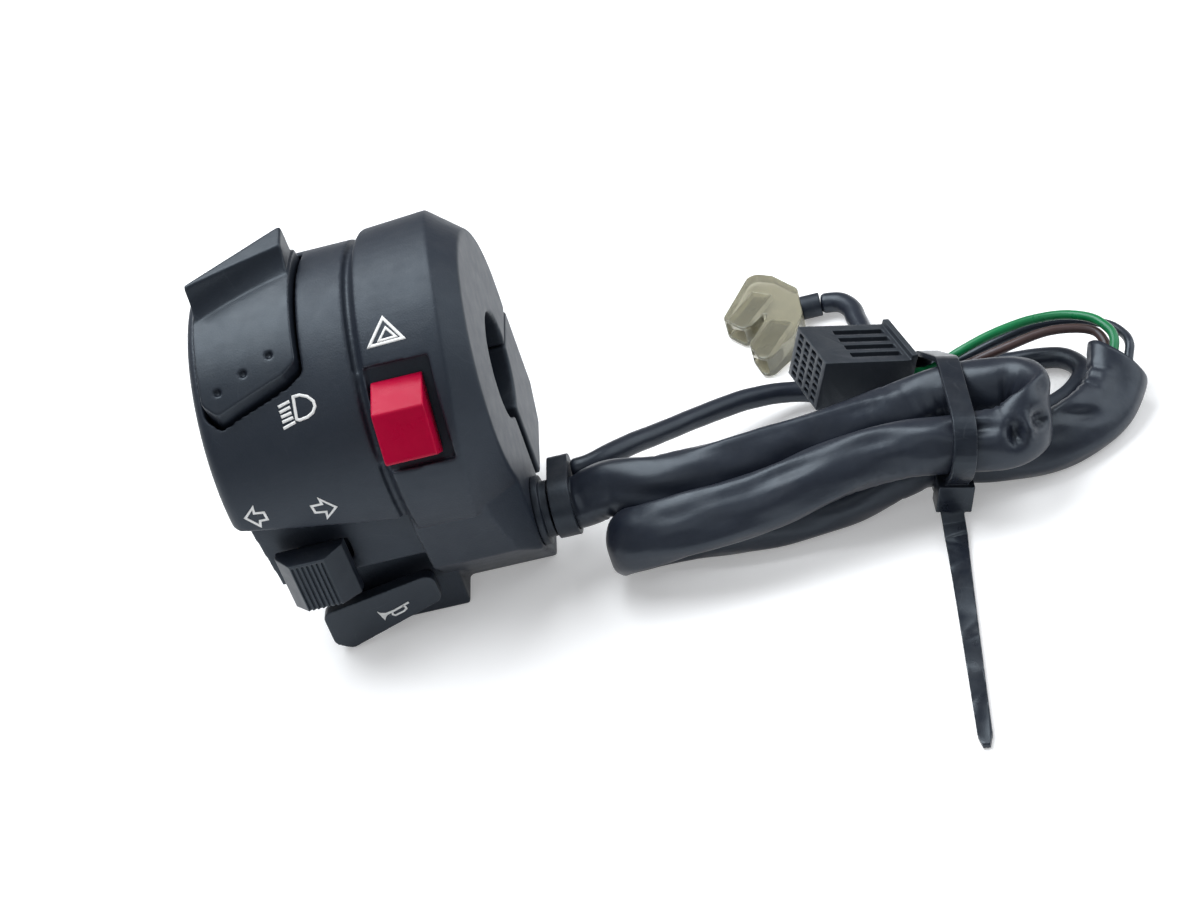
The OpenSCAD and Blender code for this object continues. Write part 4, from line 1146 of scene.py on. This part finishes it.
@dataclass
class TerminalBoots:
    """The pair of clear boots over their blades, and the stub that joins the lead."""

    bench: Workbench
    boot_softening: Softening = Softening(0.2, 16, 16000)
    stub_softening: Softening = Softening(0.16, 5, 3000)

    def build(self) -> list[Piece]:
        """Builds the boots.

        Returns:
            Their pieces.
        """
        boots = self.bench.mould("terminal_boots", "boots_clear", self.boot_softening, Body.HOUSING,
                                 Slot.CLEAR, CLEAR_FINISH)
        stub = self.bench.mould("lead_sleeve", "boot_stub", self.stub_softening, Body.HOUSING,
                                Slot.RUBBER, RUBBER_FINISH)
        self.bench.refinish(TINNED_FINISH, "blade_terminals")
        return [boots, stub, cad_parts["blade_terminals"]]


@dataclass
class BundleTie:
    """The cable tie round the bundle, with its head and its narrowing tail, in millimetres."""

    bench: Workbench
    softening: Softening = Softening(0.16, 3, 22000)
    tail_start: float = -36.0
    tail_end: float = -92.0
    tail_x: float = 112.0
    tail_root: float = -29.4
    tail_lean: float = 0.07
    narrow: float = 0.42
    narrow_power: float = 0.7
    tip_start: float = 0.95
    tip_length: float = 0.05
    tip_draw: float = 0.3
    ridge: float = 0.22
    ridge_pitch: float = 1.3
    ridge_floor: float = -41.0

    def narrow_tail(self, mesh: Mesh) -> None:
        """Draws the tail in towards its tip and gives it fine cross ridges.

        Args:
            mesh: The tie's mesh.
        """
        places = read_rows(mesh.vertices, "co", 3) / MM
        across, reach = places[:, 0], places[:, 1]
        along = np.clip((self.tail_start - reach) / (self.tail_start - self.tail_end), 0.0, 1.0)
        axis = self.tail_x + self.tail_lean * (reach - self.tail_root)
        tip = np.clip((along - self.tip_start) / self.tip_length, 0.0, 1.0)
        draw = 1 - self.narrow * along ** self.narrow_power - self.tip_draw * tip
        tail = reach < self.tail_start
        places[tail, 0] = (axis + (across - axis) * draw)[tail]
        top = tail & (places[:, 2] > self.ridge_floor)
        wave = 0.5 + 0.5 * np.sin(reach * 2 * math.pi / self.ridge_pitch)
        places[top, 2] -= (self.ridge * wave)[top]
        mesh.vertices.foreach_set("co", (places * MM).astype(np.float32).ravel())

    def build(self) -> None:
        """Builds the tie."""
        tie = self.bench.soften("bundle_tie", "tie_black", self.softening)
        self.narrow_tail(tie.data)
        self.bench.dress(tie, Body.HOUSING, Slot.TIE, TIE_FINISH, "bundle_tie")


@dataclass
class SignPrinter:
    """Prints thin white signs on a moulded surface.

    Attributes:
        target: The piece that carries the signs.
        proud: How far the print stands out, in millimetres.
        step: The length of a strip's links, in millimetres.
        search_reach: How many radii out the search for the barrel starts.
        sharpest_mitre: The least cosine that a corner's mitre is drawn with.
    """

    bench: Workbench
    target: Piece
    proud: float = 0.05
    step: float = 0.35
    search_reach: float = 1.6
    sharpest_mitre: float = 0.42
    points: list[Vector] = field(default_factory=list)
    faces: list[list[int]] = field(default_factory=list)

    def __post_init__(self) -> None:
        """Keeps the surface for placing the print."""
        graph = bpy.context.evaluated_depsgraph_get()
        self.tree = BVHTree.FromObject(self.target, graph)

    def on_barrel(self, x: float, arc: float, radius: float) -> Spot:
        """Finds a place on the barrel.

        Args:
            x: Along the bar, in millimetres.
            arc: Round the bar from the front, in millimetres at the radius.
            radius: The radius that the arc is measured at.

        Returns:
            The place and the outward direction.
        """
        angle = arc / radius
        out = Vector((0.0, -math.cos(angle), math.sin(angle)))
        return self.hit(Vector((x, 0.0, 0.0)) + out * self.search_reach * radius, out)

    def on_front(self, x: float, z: float, start: float) -> Spot:
        """Finds a place on what faces the rider, and the outward direction."""
        return self.hit(Vector((x, start, z)), Vector((0.0, -1.0, 0.0)))

    def hit(self, source: Vector, out: Vector) -> Spot:
        """Drops a point on the surface and gives the place with the way out."""
        place = self.tree.ray_cast(source * MM, -out)[0]
        return (source if place is None else place / MM), out

    def strip(self, left: Sequence[Flat], right: Sequence[Flat], closed: bool,
              place: Placer) -> None:
        """Lays a thin closed strip between two edges.

        Args:
            left: One edge.
            right: The other edge, with as many points.
            closed: Whether the strip joins its own start.
            place: What puts a flat point on the surface.
        """
        pairs = [np.array(pair) for pair in zip(left, right)]
        rows = pairs[:1]
        for start, end in zip(pairs, pairs[1:] + pairs[:1] if closed else pairs[1:]):
            links = max(1, math.ceil(np.linalg.norm(end - start, axis=1).max() / self.step))
            rows += [start + (end - start) * k / links for k in range(1, links + 1)]
        if closed:
            rows = rows[:-1]
        first, count = len(self.points), len(rows)
        for one, other in rows:
            for flat, height in ((one, 1.0), (other, 1.0), (other, -1.0), (one, -1.0)):
                spot, out = place(*flat)
                self.points.append(spot + out * self.proud * height)
        for i in range(count if closed else count - 1):
            a, b = first + 4 * i, first + 4 * ((i + 1) % count)
            self.faces += [[a + j, a + (j + 1) % 4, b + (j + 1) % 4, b + j] for j in range(4)]
        if not closed:
            last = first + 4 * (count - 1)
            self.faces += [[first + j for j in range(4)], [last + j for j in (3, 2, 1, 0)]]

    def stroke(self, line: Sequence[Flat], width: float, closed: bool, place: Placer) -> None:
        """Draws a line of one width with mitred corners.

        Args:
            line: Its points.
            width: Its width.
            closed: Whether it joins its own start.
            place: What puts a flat point on the surface.
        """
        spots = [np.array(p, float) for p in line]
        count = len(spots)
        left, right = [], []
        for i, spot in enumerate(spots):
            before = spots[i - 1] if closed or i else spot
            after = spots[(i + 1) % count] if closed or i < count - 1 else spot
            steps = (spot - before, after - spot)
            ways = [w / np.linalg.norm(w) for w in steps if np.linalg.norm(w) > TINY]
            normals = [np.array((-w[1], w[0])) for w in ways]
            middle = sum(normals)
            middle = middle / np.linalg.norm(middle)
            reach = 0.5 * width / max(self.sharpest_mitre, float(middle @ normals[0]))
            left.append(tuple(spot + middle * reach))
            right.append(tuple(spot - middle * reach))
        self.strip(left, right, closed, place)

    def finish(self, name: str, body: Body, slot: Slot) -> Piece:
        """Turns what was drawn into a dressed piece."""
        piece = self.bench.solid(name, self.points, self.faces)
        return self.bench.dress(piece, body, slot, SIGN_FINISH)


@dataclass
class SwitchHousing:
    """The two moulded halves round the bar, their screws and the printed signs."""

    bench: Workbench
    front_softening: Softening = Softening(0.38, 6, 90000)
    rear_softening: Softening = Softening(0.38, 6, 36000)
    screw_softening: Softening = Softening(0.16, 3, 9000)
    loom_softening: Softening = Softening(0.15, 3, 9000)
    barrel_r: float = 32.0
    block_r: float = 33.75
    lamp_outline: tuple[Flat, ...] = (
        (-5.6, 40.9), (-4.3, 41.0), (-2.9, 39.9), (-1.9, 37.9), (-1.8, 36.0), (-2.5, 34.1),
        (-3.7, 33.0), (-5.4, 32.6), (-5.9, 33.1))
    lamp_beams: tuple[tuple[Flat, Flat], ...] = (
        ((-8.9, 38.6), (-6.5, 39.7)), ((-8.9, 36.7), (-6.6, 37.7)), ((-8.8, 35.0), (-6.6, 35.7)),
        ((-8.8, 33.2), (-6.5, 34.0)), ((-8.9, 31.0), (-6.3, 32.3)))
    left_arrow: tuple[Flat, ...] = (
        (-22.0, 1.8), (-19.8, 5.4), (-20.0, 2.9), (-18.1, 2.4), (-18.0, -0.9), (-19.5, -0.8),
        (-19.9, -3.1))
    right_arrow: tuple[Flat, ...] = (
        (-4.2, -2.5), (-6.7, 2.5), (-6.6, 0.2), (-8.7, 0.3), (-8.5, -2.9), (-6.4, -3.6),
        (-6.7, -6.5))
    hazard_outer: tuple[Flat, ...] = ((14.8, 59.4), (11.3, 50.8), (18.2, 50.9))
    hazard_inner: tuple[Flat, ...] = ((15.1, 55.8), (13.4, 51.9), (16.8, 52.0))
    lamp_stroke: float = 0.6
    arrow_stroke: float = 0.5
    hazard_stroke: float = 0.6
    hazard_inner_stroke: float = 0.48

    def signs(self, shell: Piece) -> None:
        """Prints the headlamp, arrow and hazard signs.

        Args:
            shell: The front half.
        """
        printer = SignPrinter(self.bench, shell)

        def draw(line: Sequence[Flat], width: float, closed: bool, radius: float) -> None:
            """Draws a line given by place along the bar and degrees round it."""
            flat = [(x, math.radians(a) * radius) for x, a in line]
            printer.stroke(flat, width, closed, lambda x, arc: printer.on_barrel(x, arc, radius))

        draw(self.lamp_outline, self.lamp_stroke, True, self.barrel_r)
        for beam in self.lamp_beams:
            draw(beam, self.lamp_stroke, False, self.barrel_r)
        for arrow in (self.left_arrow, self.right_arrow):
            draw(arrow, self.arrow_stroke, True, self.barrel_r)
        draw(self.hazard_outer, self.hazard_stroke, True, self.block_r)
        draw(self.hazard_inner, self.hazard_inner_stroke, True, self.block_r)
        printer.finish("housing_signs", Body.HOUSING, Slot.SHELL)

    def build(self) -> None:
        """Builds the housing."""
        mould = self.bench.mould
        shell = mould("front_housing", "front_shell", self.front_softening, Body.HOUSING,
                      Slot.SHELL, SHELL_FINISH)
        self.signs(shell)
        for node, name, softening, slot, finish in (
                ("rear_clamp", "rear_shell", self.rear_softening, Slot.SHELL, SHELL_FINISH),
                ("clamp_screws", "clamp_screw_pair", self.screw_softening, Slot.ZINC, ZINC_FINISH),
                ("inner_loom", "loom_inside", self.loom_softening, Slot.BROWN, BROWN_FINISH)):
            mould(node, name, softening, Body.HOUSING, slot, finish)
        self.bench.refinish(ZINC_FINISH, "module_screws")
        self.bench.refinish(BRASS_FINISH, "contact_studs")


@dataclass
class Switch:
    """What the four switches share."""

    bench: Workbench

    def works(self, stem: str) -> None:
        """Gives a switch's base and moving contact their looks."""
        self.bench.refinish(BOARD_FINISH, f"{stem}_base")
        self.bench.refinish(COPPER_FINISH, f"{stem}_contact")


@dataclass
class BeamSwitch(Switch):
    """The hooded beam rocker and the works under it."""

    softening: Softening = Softening(0.22, 11, 40000)

    def build(self) -> None:
        """Builds the switch."""
        self.bench.mould("beam_rocker", "rocker_hooded", self.softening, Body.ROCKER, Slot.SWITCH,
                         SWITCH_FINISH)
        self.bench.refinish(ZINC_FINISH, "beam_pivot_pin", "beam_detent_spring", "beam_detent_ball")
        self.works("beam")


@dataclass
class HazardSwitch(Switch):
    """The red sliding knob and the works behind it."""

    softening: Softening = Softening(0.15, 16, 12000)

    def build(self) -> None:
        """Builds the switch."""
        self.bench.mould("hazard_knob", "knob_red", self.softening, Body.HAZARD, Slot.RED,
                         RED_FINISH)
        self.bench.refinish(SWITCH_FINISH, "hazard_slider")
        self.works("hazard")


@dataclass
class TurnSwitch(Switch):
    """The ribbed turn knob and the works behind it."""

    softening: Softening = Softening(0.13, 5, 24000)
    spring: CoilSpring = CoilSpring("spring_cancel", "turn_spring", (-13.5, -31.2, -16.0), -2.4,
                                    1.8, 0.5, 3, "turn_cancel_push", 0.47)

    def build(self) -> None:
        """Builds the switch."""
        self.bench.mould("turn_knob", "knob_ribbed", self.softening, Body.TURN_PUSH, Slot.SWITCH,
                         SWITCH_FINISH)
        self.bench.refinish(SWITCH_FINISH, "turn_slider")
        self.spring.build(self.bench, Body.TURN_SLIDE)
        self.works("turn")


@dataclass
class HornSwitch(Switch):
    """The horn paddle with its sign and the works behind it."""

    softening: Softening = Softening(0.2, 7, 14000)
    spring: CoilSpring = CoilSpring("spring_horn", "horn_spring", (-5.0, -9.4, -35.0), -8.2, 2.6,
                                    0.7, 5, "horn_press", 0.72)
    search_y: float = -40.0
    stroke_width: float = 0.42
    bell_top: tuple[Flat, ...] = (
        (-6.6, -33.3), (-5.9, -33.9), (-4.9, -34.15), (-3.0, -33.75), (0.4, -32.5))
    bell_low: tuple[Flat, ...] = (
        (-5.7, -36.1), (-5.2, -35.2), (-4.7, -34.75), (-2.8, -34.2), (0.5, -32.95))
    coil: tuple[Flat, ...] = (
        (-3.6, -34.3), (-3.7, -35.0), (-3.2, -35.35), (-1.2, -34.75), (-0.5, -34.2), (-0.6, -33.6),
        (-1.1, -33.3))

    def build(self) -> None:
        """Builds the switch."""
        paddle = self.bench.mould("horn_button", "horn_paddle", self.softening, Body.HORN,
                                  Slot.SWITCH, SWITCH_FINISH)
        printer = SignPrinter(self.bench, paddle)

        def place(x: float, z: float) -> Spot:
            """Puts a flat point on the paddle's face."""
            return printer.on_front(x, z, self.search_y)

        printer.strip(self.bell_top, self.bell_low, False, place)
        printer.stroke(self.coil, self.stroke_width, False, place)
        printer.finish("horn_sign", Body.HORN, Slot.SWITCH)
        self.spring.build(self.bench, Body.HOUSING)
        self.works("horn")


def main() -> None:
    """Builds the studio, the harness and the switches in order."""
    logging.basicConfig(level=logging.INFO, format="%(name)s: %(message)s")
    Studio().build()
    bench = Workbench()
    plug = PlugConnector(bench).build()
    boots = TerminalBoots(bench).build()
    Harness(bench).build(plug, boots)
    for unit in (BundleTie, SwitchHousing, BeamSwitch, HazardSwitch, TurnSwitch, HornSwitch):
        unit(bench).build()


if __name__ == "__main__":
    main()
